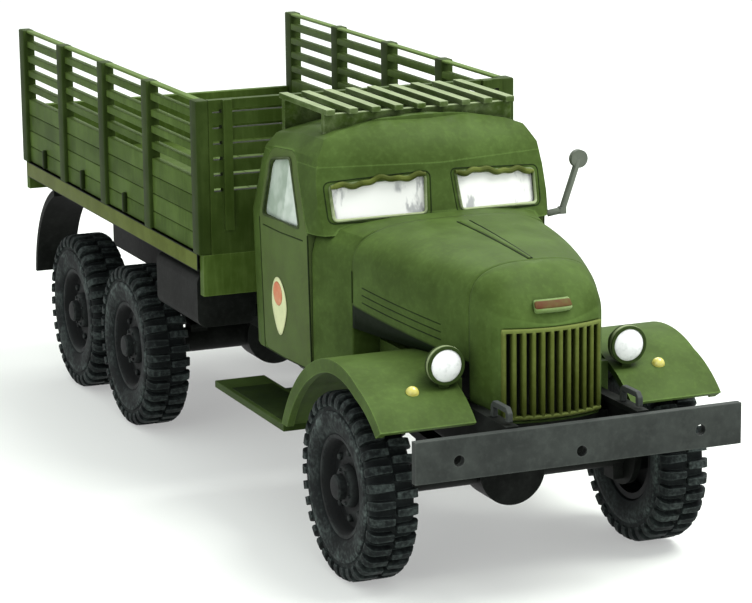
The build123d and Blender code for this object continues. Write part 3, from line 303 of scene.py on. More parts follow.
# ------------------------------------------------------------------ finishes
def painted(sh, base, light, dark, streak, wear, wash_and_shade, top):
    """Brushed kit paint: mottled base, worn paler edges, a painted highlight on upward faces,
    and dark wash with painted shade in creases and under edges. The piece's tone darkens it
    below 0, for darker parts and for painted shade, and makes it paler above 0, for brushing
    and for painted highlights."""
    blotch = sh.noise(3.2, 4.0)
    fine = sh.noise(0.45, 3.0, scale=streak)
    # painted highlight: faces turned up are mixed towards the light colour by top
    up = sh.step(sh.facing(UP), 0.1, 0.95)
    lift = sh.step(blotch, 0.34, 0.70) * 0.26 + sh.step(fine, 0.42, 0.75) * 0.16 + up * top
    tone = sh.mix(lift, base, light)
    # point tone: below 0 darker, for darker parts and for painted shade; above 0 paler, for
    # brushing and for painted highlights
    point_tone = sh.attribute("tone")
    edge = sh.step(sh.edges(0.22) * (0.55 + fine * 0.7), 0.22, 0.55) * wear
    edge = edge * sh.step(point_tone, -0.8, -0.1)
    tone = sh.mix(sh.greater(edge, point_tone * (0.6 + fine * 0.6)), tone, light)
    # dark wash with painted shade: creases and the undersides of edges, found by ambient
    # occlusion, go towards the dark colour
    crease = sh.step(sh.hollows(2.2) * (0.7 + blotch * 0.5), 0.22, 0.75) * wash_and_shade
    tone = sh.mix(sh.greater(crease, point_tone * -1.0), tone, dark)
    return sh.surface(tone, 0.46 + fine * 0.22, sh.bump(fine * 0.5 + blotch * 0.2, 0.25, 0.06),
                      Specular_IOR_Level=0.06)


def creased(sh, tone, dark, reach, fine, rough, relief):
    """Dull wheel surface, darkened in creases within reach as wash and painted shade, with a fine
    relief.
    """
    crease = sh.step(sh.hollows(reach), 0.35, 0.85) * 0.8
    return sh.surface(sh.mix(crease, tone, dark), rough + fine * 0.2,
                      sh.bump(fine, relief, 0.05), Specular_IOR_Level=0.10)


def rim_paint(sh, base, light, dark):
    """Dark wheel paint, brushed grey where the tone says so."""
    fine = sh.noise(0.30, 4.0, 0.65)
    broad = sh.noise(1.6, 3.0)
    extra_tone = sh.attribute("tone") * sh.step(fine * 0.5 + broad * 0.5, 0.38, 0.62)
    return creased(sh, sh.mix(extra_tone * 0.22, base, light), dark, 0.8, fine, 0.5, 0.3)


def tyre_rubber(sh, base, light, dark):
    """Black rubber with grey dry-brushing on what stands out."""
    fine = sh.noise(0.35, 4.0, 0.65)
    broad = sh.noise(2.4, 3.0)
    extra_tone = sh.attribute("tone") * sh.step(fine * 0.55 + broad * 0.45, 0.42, 0.72)
    edge = sh.step(sh.edges(0.25) * (0.35 + fine * 0.9), 0.25, 0.62)
    dust = sh.step(broad * 0.6 + fine * 0.4, 0.46, 0.72) * 0.08
    lift = sh.greater(sh.greater(edge * 0.4, dust), extra_tone * 0.85)
    return creased(sh, sh.mix(lift, base, light), dark, 0.9, fine, 0.62, 0.35)


def bright_pane(sh, white, grey):
    """Windscreen glass painted bright white with upright grey streaks: a painted reflection."""
    streak = sh.noise(0.75, 3.0, 0.6, scale=(1.0, 1.0, 0.30))
    cloud = sh.noise(3.4, 2.0)
    mask = sh.step(streak, 0.46, 0.62) * sh.step(cloud, 0.50, 0.60) * 0.70
    return sh.surface(sh.mix(mask, white, grey), 0.12, Specular_IOR_Level=0.6, Coat_Weight=0.5)


def pale_pane(sh, base, light):
    """Pale green-grey glass with clouds: a painted reflection."""
    cloud = sh.noise(1.8, 2.0)
    tone = sh.mix(sh.step(cloud, 0.35, 0.7) * 0.5, base, light)
    return sh.surface(tone, 0.14, Specular_IOR_Level=0.6, Coat_Weight=0.4)


def lamp_glass(sh, base, shade):
    """Shiny painted lamp glass with soft clouds."""
    cloud = sh.noise(0.5, 3.0)
    tone = sh.mix(sh.step(cloud, 0.45, 0.75) * 0.5, base, shade)
    return sh.surface(tone, 0.18 + cloud * 0.1, sh.bump(cloud, 0.2, 0.05), Coat_Weight=0.6)


EVEN, UPRIGHT, LENGTHWISE = (1.0, 1.0, 1.0), (1.0, 1.0, 0.15), (0.15, 1.0, 1.0)

# finish: how it is made, then its colours, and for a paint its streaks, wear on edges,
# wash and painted shade in creases, and lighter tops, a painted highlight
FINISHES = {
    "cab_paint": (painted, "cab_green", "sun_green", "shade_green", EVEN, 0.8, 0.8, 0.12),
    "door_finish": (painted, "door_green", "sun_green", "shade_green", EVEN, 0.8, 0.8, 0.12),
    "bed_paint": (painted, "bed_green", "bed_pale", "bed_dark", UPRIGHT, 0.5, 0.8, 0.1),
    "olive_finish": (painted, "olive", "olive_pale", "bed_dark", EVEN, 0.6, 0.8, 0.1),
    # the rack's tops take 0.7 of the pale colour: a painted highlight
    "rack_paint": (painted, "bed_green", "rack_pale", "bed_dark", LENGTHWISE, 0.4, 0.8, 0.7),
    "chassis_paint": (painted, "black", "chassis_dust_and_top_light", "chassis_wash_and_shade", EVEN, 0.5, 0.8, 0.2),
    "bumper_paint": (painted, "slate", "slate_wear_and_top_light", "slate_wash_and_shade", EVEN, 0.7, 0.8, 0.2),
    "hook_paint": (painted, "hook_grey", "slate_wear_and_top_light", "black", EVEN, 0.3, 1.0, 0.1),
    "dark_lines": (painted, "shade_green", "cab_green", "black", EVEN, 0.1, 0.8, 0.0),
    "gasket_paint": (painted, "cab_green", "gasket", "shade_green", EVEN, 0.12, 0.8, 0.1),
    "seat_finish": (painted, "vinyl", "vinyl_wear_and_top_light", "vinyl_wash_and_shade", EVEN, 0.8, 0.8, 0.12),
    "shield_cream": (painted, "cream", "gasket", "shade_green", EVEN, 0.2, 0.3, 0.0),
    "shield_red": (painted, "red", "cream", "shade_green", EVEN, 0.2, 0.3, 0.0),
    "bar_rim": (painted, "sun_green", "gasket", "shade_green", EVEN, 0.2, 0.3, 0.0),
    "bar_red": (painted, "rust", "sun_green", "shade_green", EVEN, 0.2, 0.3, 0.0),
    "rim_finish": (rim_paint, "rim_dark", "rubber_brush", "rubber_wash_and_shade"),
    "tyre_rubber": (tyre_rubber, "rubber", "rubber_brush", "rubber_wash_and_shade"),
    "windscreen_panes": (bright_pane, "pane_white", "pane_grey"),
    "door_panes": (pale_pane, "door_pane", "door_cloud"),
    "lamp_glass": (lamp_glass, "silver", "silver_shade"),
    "marker_glass": (lamp_glass, "gold", "gold_shade"),
}


def look(name):
    """Material of a finish, made on its first use."""
    found = bpy.data.materials.get(name)
    if found:
        return found
    make, *values = FINISHES[name]
    colours = bpy.context.scene.truck_finish
    values = [getattr(colours, value) if isinstance(value, str) else value for value in values]
    return make(Shader(bpy.data.materials.new(name)), *values)


# ------------------------------------------------------------------ mesh making
def set_tone(mesh, tone):
    """Write the tone of every point."""
    tones = mesh.attributes.new("tone", "FLOAT", "POINT")
    tones.data.foreach_set("value", np.full(len(mesh.vertices), tone, np.float32))


def put(name, mesh, finish, smooth, body=CHASSIS, slot="green_paint", instead=()):
    """Mesh object with its finish, riding on its body in place of the nodes that it
    replaces; edges sharper than smooth degrees stay sharp."""
    mesh.materials.append(look(finish))
    mesh.shade_smooth()
    mesh.set_sharp_from_angle(angle=np.radians(smooth))
    piece = bpy.data.objects.new(name, mesh)
    bpy.context.scene.collection.objects.link(piece)
    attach(piece, body)
    if instead:
        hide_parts(*instead)
    return piece


def walled(piece, thickness):
    """Give a sheet a wall behind it, in millimetres."""
    wall = piece.modifiers.new("wall", "SOLIDIFY")
    wall.thickness = thickness * MM
    wall.offset = -1.0


class Form:
    """Faces of one piece, gathered from grids, in millimetres. Each point also has a
    tone, which its finish may read: 0 for the plain paint, up to 1 for paler (brushing, and
    painted highlights on some pieces), down to -1 for darker (darker parts, and painted shade
    on some pieces)."""

    def __init__(self):
        self.points = []
        self.tones = []
        self.faces = []
        self.count = 0

    def grid(self, points, wrap_u=False, wrap_v=False, cap_u=False, tone=0.0):
        """Quads over a grid of points, wrapped along either way or capped at its first and
        last row."""
        rows, columns = points.shape[:2]
        order = np.arange(rows * columns).reshape(rows, columns)
        if wrap_u:
            order = np.vstack([order, order[:1]])
        if wrap_v:
            order = np.hstack([order, order[:, :1]])
        faces = np.stack([order[:-1, :-1], order[1:, :-1], order[1:, 1:], order[:-1, 1:]],
                         axis=-1).reshape(-1, 4).tolist()
        if cap_u:
            ring = np.arange(columns)
            faces.append(ring.tolist())
            faces.append((ring[::-1] + (rows - 1) * columns).tolist())
        points = points.reshape(-1, 3)
        self.points.append(points)
        self.tones.append(np.broadcast_to(np.asarray(tone, float).reshape(-1), len(points)))
        self.faces.extend([[index + self.count for index in face] for face in faces])
        self.count += len(points)

    def build(self, name, finish, smooth=35.0, outward=True, **riding):
        """Mesh object from the gathered faces."""
        mesh = bpy.data.meshes.new(name)
        mesh.from_pydata((np.vstack(self.points) * MM).tolist(), [], self.faces)
        set_tone(mesh, np.concatenate(self.tones))
        if outward:
            turn_outward(mesh)
        return put(name, mesh, finish, smooth, **riding)


def turn_outward(mesh):
    """Merge doubles and turn every shell's faces outwards."""
    made = bmesh.new()
    made.from_mesh(mesh)
    bmesh.ops.remove_doubles(made, verts=made.verts, dist=1e-7)
    bmesh.ops.recalc_face_normals(made, faces=made.faces)
    made.to_mesh(mesh)
    made.free()


def unit(rows):
    """Rows of a vector array, each scaled to length 1."""
    return rows / np.linalg.norm(rows, axis=-1, keepdims=True)


def points(*places):
    """Points from their coordinates, arrays and plain numbers spread to one shape."""
    return np.stack(np.broadcast_arrays(*places), axis=-1)


def turned(profile, centre, axis, steps):
    """Grid of a profile turned about an axis: each (radius, along) pair becomes a
    circle of that radius, at that distance along the axis from the centre."""
    axis = np.asarray(axis, float)
    first = unit(np.cross(axis, UP))
    second = np.cross(axis, first)
    profile = np.asarray(profile, float)
    angle = np.linspace(0, 2 * np.pi, steps, endpoint=False)
    around = np.cos(angle)[:, None] * first + np.sin(angle)[:, None] * second
    return (np.asarray(centre, float) + profile[:, None, :1] * around[None]
            + profile[:, None, 1:] * axis)


def rounded(half_a, half_b, radius, steps=3):
    """Outline of a rounded rectangle: quarter circles of the radius at its corners."""
    quarter = np.linspace(0, np.pi / 2, steps + 1)
    corners = []
    for turn, (sign_a, sign_b) in enumerate(((1, 1), (-1, 1), (-1, -1), (1, -1))):
        angle = quarter + turn * np.pi / 2
        corners.append(points(sign_a * (half_a - radius) + radius * np.cos(angle),
                              sign_b * (half_b - radius) + radius * np.sin(angle)))
    return np.vstack(corners)


def circle(radius, steps):
    """Round outline: the cosine and sine of equal angles, times the radius."""
    angle = np.linspace(0, 2 * np.pi, steps, endpoint=False)
    return points(np.cos(angle), np.sin(angle)) * radius


def swept(path, outline, up=UP, ends=0.0):
    """Grid of an outline carried along a path: its first coordinate goes sideways, its
    second as near up as the path lets it; both ends shrink by ends, to round them."""
    path = np.asarray(path, float)
    outline = np.asarray(outline, float)
    along = unit(np.gradient(path, axis=0))
    side = unit(np.cross(along, np.asarray(up, float)))
    lift = np.cross(side, along)
    scale = np.ones(len(path))
    if ends > 0:
        reach = np.abs(outline).max()
        path = np.vstack([path[:1], path[:1] + along[:1] * ends * 0.3,
                          path[:1] + along[:1] * ends, path[1:-1],
                          path[-1:] - along[-1:] * ends, path[-1:] - along[-1:] * ends * 0.3,
                          path[-1:]])
        side = np.vstack([side[:1], side[:1], side, side[-1:], side[-1:]])
        lift = np.vstack([lift[:1], lift[:1], lift, lift[-1:], lift[-1:]])
        near, far = 1 - 0.3 * ends / reach, 1 - ends / reach
        scale = np.concatenate([[far, near], scale, [near, far]])
    return (path[:, None] + side[:, None] * outline[None, :, :1] * scale[:, None, None]
            + lift[:, None] * outline[None, :, 1:] * scale[:, None, None])


def bar(form, start, end, half_a, half_b, radius, up=UP, tone=0.0):
    """Straight bar with rounded edges and ends."""
    path = np.linspace(start, end, 2)
    form.grid(swept(path, rounded(half_a, half_b, radius), up, ends=radius),
              wrap_v=True, cap_u=True, tone=tone)


def block(form, low, high, radius, tone=0.0):
    """Rounded block between two corners, carried along its longest way."""
    low, high = np.asarray(low, float), np.asarray(high, float)
    middle, half = (low + high) / 2, (high - low) / 2
    way = int(np.argmax(half))
    sideways, upright = ((1, 2), (0, 2), (1, 0))[way]
    start, end = middle.copy(), middle.copy()
    start[way], end[way] = low[way], high[way]
    bar(form, start, end, half[sideways], half[upright], radius, np.eye(3)[upright], tone)


def round_bar(form, path, radius, steps, up=UP):
    """Round wire carried along a path, with rounded ends."""
    form.grid(swept(path, circle(radius, steps), up, ends=radius * 0.6), wrap_v=True, cap_u=True)


# ------------------------------------------------------------------ nodes of the frame
# start of a node's name and its finish; the longest start that fits counts
NODE_FINISHES = {
    "cab": "cab_paint", "door": "cab_paint", "windscreen_frame": "cab_paint",
    "hood": "cab_paint", "nose_shell": "cab_paint", "fender": "cab_paint",
    "running": "cab_paint", "dashboard": "cab_paint", "headlamps": "cab_paint",
    "door_glass": "door_panes", "rear_glass": "door_panes",
    "windscreen_glass": "windscreen_panes", "bed": "bed_paint", "roof_rack": "rack_paint",
    "grille": "olive_finish", "front_bumper": "bumper_paint", "tyre": "tyre_rubber",
    "rim": "rim_finish", "seat": "seat_finish", "mirror": "hook_paint", "tow": "hook_paint",
    "headlamp_lenses": "lamp_glass", "marker_lamps": "marker_glass",
    "cab_floor": "chassis_paint", "bed_beams": "chassis_paint", "": "chassis_paint",
}

# node, finish, slot, edge width, tone
SOFT_NODES = (
    ("cab_roof", "cab_paint", "green_paint", 0.30, 0.0),
    ("cab_back", "cab_paint", "green_paint", 0.20, 0.0),
    ("cab_cowl", "cab_paint", "green_paint", 0.25, 0.0),
    ("door_left", "door_finish", "green_paint", 0.10, 0.0),
    ("door_right", "door_finish", "green_paint", 0.10, 0.0),
    ("windscreen_frame", "cab_paint", "green_paint", 0.12, 0.0),
    ("fender_left", "cab_paint", "green_paint", 0.14, 0.0),
    ("fender_right", "cab_paint", "green_paint", 0.14, 0.0),
    ("running_boards", "cab_paint", "green_paint", 0.08, -0.4),
    ("front_bumper", "bumper_paint", "bumper_grey", 0.12, 0.0),
    ("roof_rack", "rack_paint", "olive_paint", 0.12, 0.0),
    # the headboard's tone of -0.45 is painted shade cast by the cab in front of it
    ("bed_headboard", "bed_paint", "green_paint", 0.08, -0.45),
    ("bed_tailgate", "bed_paint", "green_paint", 0.10, 0.0),
    ("mirror_left", "hook_paint", "green_paint", 0.05, 0.0),
    ("tow_hooks", "bumper_paint", "steel_paint", 0.08, 0.15),
    ("headlamps", "cab_paint", "green_paint", 0.10, -0.5),
)


class TRUCK_OT_node_looks(bpy.types.Operator):
    """Give every frame node its finish"""
    bl_idname = "truck.node_looks"
    bl_label = "Finish the frame's nodes"

    def execute(self, context):
        for name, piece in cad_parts.items():
            start = max((key for key in NODE_FINISHES if name.startswith(key)), key=len)
            paint = look(NODE_FINISHES[start])
            for index in range(len(piece.data.materials)):
                piece.data.materials[index] = paint
            if not piece.data.materials:
                piece.data.materials.append(paint)
        return {"FINISHED"}


class TRUCK_OT_soft_nodes(bpy.types.Operator):
    """Show the cab's and the bed's solids with their edges rounded"""
    bl_idname = "truck.soft_nodes"
    bl_label = "Rounded edges"

    def execute(self, context):
        for row in SOFT_NODES:
            self.soften(*row)
        return {"FINISHED"}

    def soften(self, name, finish, slot, width, tone):
        """Copy of a node with its flat faces merged and its edges bevelled."""
        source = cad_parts[name]
        mesh = bpy.data.meshes.new("soft-" + name)
        made = bmesh.new()
        made.from_mesh(source.data)
        bmesh.ops.remove_doubles(made, verts=made.verts, dist=1e-6)
        bmesh.ops.dissolve_limit(made, angle_limit=np.radians(1.0), verts=made.verts,
                                 edges=made.edges)
        made.to_mesh(mesh)
        made.free()
        mesh.transform(source.matrix_world)
        mesh.materials.clear()
        set_tone(mesh, tone)
        piece = put("soft-" + name, mesh, finish, 42.0, slot=slot, instead=(name,))
        edge = piece.modifiers.new("edges", "BEVEL")
        edge.width = width * MM
        edge.segments = 2
        edge.limit_method = "ANGLE"
        edge.angle_limit = np.radians(30.0)
        edge.harden_normals = True


# ------------------------------------------------------------------ hood and nose
# along the truck, half width, top of the side, crown
HOOD = np.array(((24.175, 8.8, 22.2, 25.65), (33.625, 6.85, 21.8, 25.25),
                 (38.62, 5.3, 21.35, 24.84)))
HOOD_LOW = 17.4
# places along the hood, and the heights there of its dark foot, a painted shade, and of its lowest
# streak
SHADE_LINE = ((24.175, 38.6), (19.3, 17.55))
STREAK_LINE = ((24.175, 38.6), (19.3, 17.75))
STREAK_LEVELS, STREAK_ENDS = (0.55, 1.15, 1.75), (25.6, 35.6)
GROOVE, STREAK = 0.085, 0.055
# places along the hinge strip, and its half width there
STRIP = ((26.2, 38.3), (0.55, 0.16))
NOSE_JOINT, NOSE_REACH, NOSE_CURVE, NOSE_CORNER = 38.65, 42.655, 4.3, 3.7
# nose seen from above, from its joint round to its front: forward, sideways
NOSE_PLAN = ((38.65, 5.3), (39.6, 5.08), (40.555, 4.80), (41.25, 4.58), (41.75, 4.1))
# places along the nose, and the heights there of its top's rim and of its chin
NOSE_RIM = ((38.64, 40.5, 41.6, 42.0), (21.35, 20.75, 20.62, 20.62))
NOSE_CHIN = ((38.64, 40.8, 41.8), (14.3, 14.0, 13.2))
SHELL = 0.5
GRILLE_HALF, GRILLE_LOW, GRILLE_HIGH = 4.1, 13.45, 20.5
GRILLE_BARS, BAR_HALF, BAR_DEPTH, BAR_PROUD = 12, 0.17, 0.36, 0.22


def hood_section(along):
    """Half width, top of the side and crown at places along the hood: parabolas through
    the three sections."""
    return [np.polyval(np.polyfit(HOOD[:, 0], HOOD[:, column], 2), along) for column in (1, 2, 3)]


def nose_front(sideways):
    """How far forward the nose's front reaches: reach - (sideways / curve) ** 2."""
    return NOSE_REACH - (np.asarray(sideways) / NOSE_CURVE) ** 2


class TRUCK_OT_hood(bpy.types.Operator):
    """Make the hood and the nose as smooth shells"""
    bl_idname = "truck.hood"
    bl_label = "Hood and nose"

    def execute(self, context):
        for form, name in ((self.hood(), "hood"), (self.nose(), "nose_shell")):
            walled(form.build("smooth-" + name, "cab_paint", 50.0, instead=(name,)), SHELL)
        self.marks()
        return {"FINISHED"}

    def hood(self):
        """Sections along the hood: across each, with an angle a from -90 to 90 degrees, the
        side place is half * sin(a) ** (2/3) and the height crown - drop * (1 - cos(a) ** (2/3));
        straight sides below, with painted shade under a line that falls towards the front and a
        paler band just above it."""
        along = np.linspace(HOOD[0, 0], HOOD[2, 0], 40)
        half, side, crown = (row[:, None] for row in hood_section(along))
        angle = np.linspace(-np.pi / 2, np.pi / 2, 65)
        across = np.sign(angle) * np.abs(np.sin(angle)) ** (2 / 3)
        height = crown - (crown - side) * (1 - np.cos(angle) ** (2 / 3))
        line = np.interp(along, *SHADE_LINE)[:, None]
        levels = np.concatenate([0 * line + HOOD_LOW, line + (-0.12, 0.0, 0.1)], axis=1)
        # painted shade on the hood's sides below the line, and a paler band just above it
        tone = np.broadcast_to((-1.0, -1.0, -0.2, 0.25), levels.shape)
        walls = np.broadcast_to(half, levels.shape)
        sideways = np.concatenate([-walls, half * across, walls], axis=1)
        tone = np.concatenate([tone, 0 * height, tone[:, ::-1]], axis=1)
        height = np.concatenate([levels, height, levels[:, ::-1]], axis=1)
        form = Form()
        form.grid(points(along[:, None], sideways, height), tone=tone)
        return form

    def outline(self):
        """Nose's plan from the right joint round to the left one, with softened corners."""
        sideways = np.linspace(-NOSE_CORNER, NOSE_CORNER, 31)
        side = np.array(NOSE_PLAN)
        front = points(nose_front(sideways), sideways)
        plan = np.vstack([side * (1, -1), front, side[::-1]])
        steps = np.concatenate([[0], np.cumsum(np.linalg.norm(np.diff(plan, axis=0), axis=1))])
        at = np.linspace(0, steps[-1], 121)
        plan = np.stack([np.interp(at, steps, plan[:, k]) for k in (0, 1)], axis=-1)
        for _ in range(3):
            plan[1:-1] = (plan[:-2] + 2 * plan[1:-1] + plan[2:]) / 4
        return plan

    def nose(self):
        """Rays from the crest's middle to the plan outline, at t of the way: the height falls
        by drop * ((1 - w) * (1 - (1 - t ** 3) ** (1/3)) + w * t ** 1.75), with w from 0 at the
        sides to 1 in front; straight walls below, open behind the grille."""
        plan = self.outline()
        crest = np.array((NOSE_JOINT, 0.0, HOOD[2, 3]))
        rim = np.interp(plan[:, 0], *NOSE_RIM)
        bearing = np.arctan2(np.abs(plan[:, 1]), plan[:, 0] - NOSE_JOINT + 1e-6)
        front = np.clip(np.cos(bearing), 0, 1) ** 1.5
        angle = np.linspace(0.0, np.pi / 2, 26)[:, None]
        share = np.sin(angle) ** (2 / 3)
        fall = (1 - front) * (1 - np.cos(angle) ** (2 / 3)) + front * share ** 1.75
        top = np.empty((len(angle), len(plan), 3))
        top[..., :2] = crest[:2] * (1 - share[..., None]) + plan[None] * share[..., None]
        top[..., 2] = crest[2] - (crest[2] - rim) * fall
        low = np.interp(plan[:, 0], *NOSE_CHIN)
        edge = np.column_stack([plan, np.minimum(rim - 0.12, GRILLE_HIGH + 0.05)])
        foot = np.column_stack([plan, low + 0.25])
        chin = np.column_stack([plan, low])
        # painted highlight: the nose's front is paler near its crest and along the top's edge
        extra_tone = front * (0.30 * (1 - share) ** 2 + 0.45 * (share > 0.985))
        form = Form()
        form.grid(np.concatenate([top, edge[None]]), tone=np.concatenate([extra_tone, extra_tone[-1:]]))
        shut = (np.abs(plan[:, 1]) > GRILLE_HALF - 0.1) | (plan[:, 0] < 41.0)
        first, last = np.argmin(shut), len(shut) - np.argmin(shut[::-1])
        for part in (slice(0, first + 1), slice(last - 1, None)):
            form.grid(np.stack([edge[part], foot[part]]))
        form.grid(np.stack([foot, chin]))
        return form

    def marks(self):
        """Hinge strip on the hood's middle, with a dark groove at either side, and streaks
        on the hood's sides."""
        strip, groove = Form(), Form()
        along = np.linspace(*STRIP[0], 20)
        crown = hood_section(along)[2]
        wide = np.interp(along, *STRIP)
        for sign in SIGNS:
            round_bar(groove, points(along, sign * wide, crown - 0.01), GROOVE, 8)
        across = np.linspace(-1, 1, 9)
        height = crown[:, None] + 0.12 * (1 - across ** 4)[None] - 0.02
        strip.grid(points(along[:, None], wide[:, None] * 0.9 * across[None], height))
        streaks = np.linspace(*STREAK_ENDS, 16)
        half = hood_section(streaks)[0]
        for sign in SIGNS:
            for level in STREAK_LEVELS:
                line = np.interp(streaks, *STREAK_LINE) + level
                round_bar(groove, points(streaks, sign * (half - 0.02), line), STREAK, 6)
        strip.build("hood-strip", "cab_paint", outward=False)
        groove.build("hood-grooves", "dark_lines")


class TRUCK_OT_grille(bpy.types.Operator):
    """Make the grille's rounded bars and its rims"""
    bl_idname = "truck.grille"
    bl_label = "Grille"

    def execute(self, context):
        form = Form()
        half = GRILLE_HALF - 0.16
        for sideways in np.linspace(-half, half, GRILLE_BARS):
            ahead = float(nose_front(sideways)) + BAR_PROUD - BAR_DEPTH
            bar(form, (ahead, sideways, GRILLE_LOW + 0.1), (ahead, sideways, GRILLE_HIGH - 0.1),
                BAR_HALF, BAR_DEPTH, 0.13, up=AHEAD)
        sideways = np.linspace(-half - 0.1, half + 0.1, 25)
        for height, tone in ((GRILLE_LOW + 0.2, 0.2), (GRILLE_HIGH - 0.16, 0.6)):
            path = points(nose_front(sideways) - 0.12, sideways, height)
            form.grid(swept(path, rounded(0.34, 0.16, 0.12)), wrap_v=True, cap_u=True, tone=tone)
        form.build("grille-bars", "olive_finish", slot="olive_paint", instead=("grille",))
        return {"FINISHED"}


# ------------------------------------------------------------------ windows and seams
# a pane's corners and its frame's corners, out from the screen's middle and up it
PANE = ((1.63, 0.35), (9.13, 0.05), (9.38, 2.75), (1.53, 3.35))
PANE_FRAME = ((1.2, 0.02), (9.6, -0.18), (9.9, 3.05), (1.1, 3.66))
APEX = np.array((22.875, 0.0, 25.4))
PANE_TURN, PANE_LEAN = np.radians(12.0), 0.27
WIPER_LINE = ((1.5, 5.0, 9.3), (3.35, 3.15, 2.62))
# a door window's corners: along the truck, height
DOOR_WINDOW = ((10.575, 24.45), (10.775, 29.0), (14.925, 29.75), (17.925, 24.45))
# places along the cab's side, and how far in its belt, eave and foot lie there
SIDE_PLACES = (7.525, 8.825, 14.375, 18.675, 20.475)
BELT_IN, EAVE_IN = (0.3, 0.0, 0.0, 0.4, 0.8), (1.2, 0.7, 0.6, 0.9, 1.15)
FOOT_IN = (0.6, 0.3, 0.3, 0.6, 1.0)
CAB_HALF, BELT, ABOVE_BELT, BELOW_BELT = 11.1, 24.3, 4.2, 11.4
BOARD_TOP, BOARD_FRONT, BOARD_OUT, BOARD_HALF = 9.7, 22.725, 12.05, 1.85
# heights of the door seam's top, of the seam under its window and of the hood's rear seam
DOOR_TOP, WAIST, HOOD_SEAM, HOOD_SEAM_OUT = 24.1, 23.55, (19.4, 22.0), 8.81


def screen_face(sign, lean):
    """The way that one half of the windscreen looks."""
    return np.array((np.cos(PANE_TURN), sign * np.sin(PANE_TURN), lean))


def on_screen(sign, out, up, off):
    """Points of the windscreen: out from its middle and up its leaning pane, off its face."""
    out, up = np.asarray(out, float), np.asarray(up, float)
    lie = np.array((-np.sin(PANE_TURN), sign * np.cos(PANE_TURN), 0.0))
    return (APEX + out[:, None] * lie + up[:, None] * UP
            + (off - PANE_LEAN * up)[:, None] * screen_face(sign, 0.0))


def on_side(sign, along, height, off):
    """Points of the cab's side: straight from its foot to its belt and on to its eave, at
    places along the cab."""
    belt, eave, foot = (np.interp(along, SIDE_PLACES, row) for row in (BELT_IN, EAVE_IN, FOOT_IN))
    inset = np.where(height > BELT, belt + (eave - belt) * (height - BELT) / ABOVE_BELT,
                     belt + (foot - belt) * (BELT - height) / BELOW_BELT)
    return points(along, sign * (CAB_HALF - inset + off), height)


def cornered(corners, radius, steps=5):
    """Closed outline whose corners become curves: the corner plus before * (1 - t) ** 2 plus
    after * t ** 2, where before and after lead to its neighbours and are radius long."""
    corners = np.asarray(corners, float)
    before, after = (np.roll(corners, way, axis=0) - corners for way in (1, -1))
    before *= radius / np.linalg.norm(before, axis=1, keepdims=True)
    after *= radius / np.linalg.norm(after, axis=1, keepdims=True)
    t = np.linspace(0, 1, steps + 1)[None, :, None]
    curve = corners[:, None] + before[:, None] * (1 - t) ** 2 + after[:, None] * t ** 2
    return curve.reshape(-1, corners.shape[1])


def ring(form, path, radius, face, steps=8, tone=0.0):
    """Closed bead: a circle of the radius round every point of a loop, across its run; the
    face direction says which way the circle's first turn goes."""
    along = unit(np.roll(path, -1, axis=0) - np.roll(path, 1, axis=0))
    side = unit(np.cross(along, np.asarray(face, float)))
    lift = np.cross(side, along)
    angle = np.linspace(0, 2 * np.pi, steps, endpoint=False)[None, :, None]
    grid = path[:, None] + radius * (side[:, None] * np.cos(angle) + lift[:, None] * np.sin(angle))
    form.grid(grid, wrap_u=True, wrap_v=True, tone=tone)


class TRUCK_OT_seams(bpy.types.Operator):
    """Lay dark seams round the doors and the windscreen and behind the hood"""
    bl_idname = "truck.seams"
    bl_label = "Panel seams"

    def execute(self, context):
        thick = sizes().seam_width / 2
        seams = Form()
        low, high = node_box("door_right")
        rear, ahead, foot = low[0] + 0.02, high[0] - 0.02, low[2] + 0.03
        upright = np.linspace(DOOR_TOP, foot, 14)
        level = np.linspace(ahead, rear, 14)
        door = np.vstack([points(ahead, upright), points(level, foot)[1:-1],
                          points(rear, upright[::-1])])
        for sign in SIGNS:
            for along, height in (door.T, points(level[1:-1], WAIST).T):
                path = on_side(sign, along, height, -0.01)
                round_bar(seams, path, thick, 6, up=(0.0, sign, 0.02))
            middle = sign * BOARD_OUT
            block(seams, (low[0] + 0.1, middle - BOARD_HALF, BOARD_TOP - 0.06),
                  (BOARD_FRONT - 0.4, middle + BOARD_HALF, BOARD_TOP + 0.03), 0.03)
            out, up = cornered(PANE_FRAME, 0.6).T
            ring(seams, on_screen(sign, out, up, 0.0), thick * 0.8, screen_face(sign, 0.2), 6)
            path = points(HOOD[0, 0], sign * HOOD_SEAM_OUT, np.linspace(*HOOD_SEAM, 6))
            round_bar(seams, path, thick, 6, up=AHEAD)
        seams.build("panel-seams", "dark_lines")
        return {"FINISHED"}


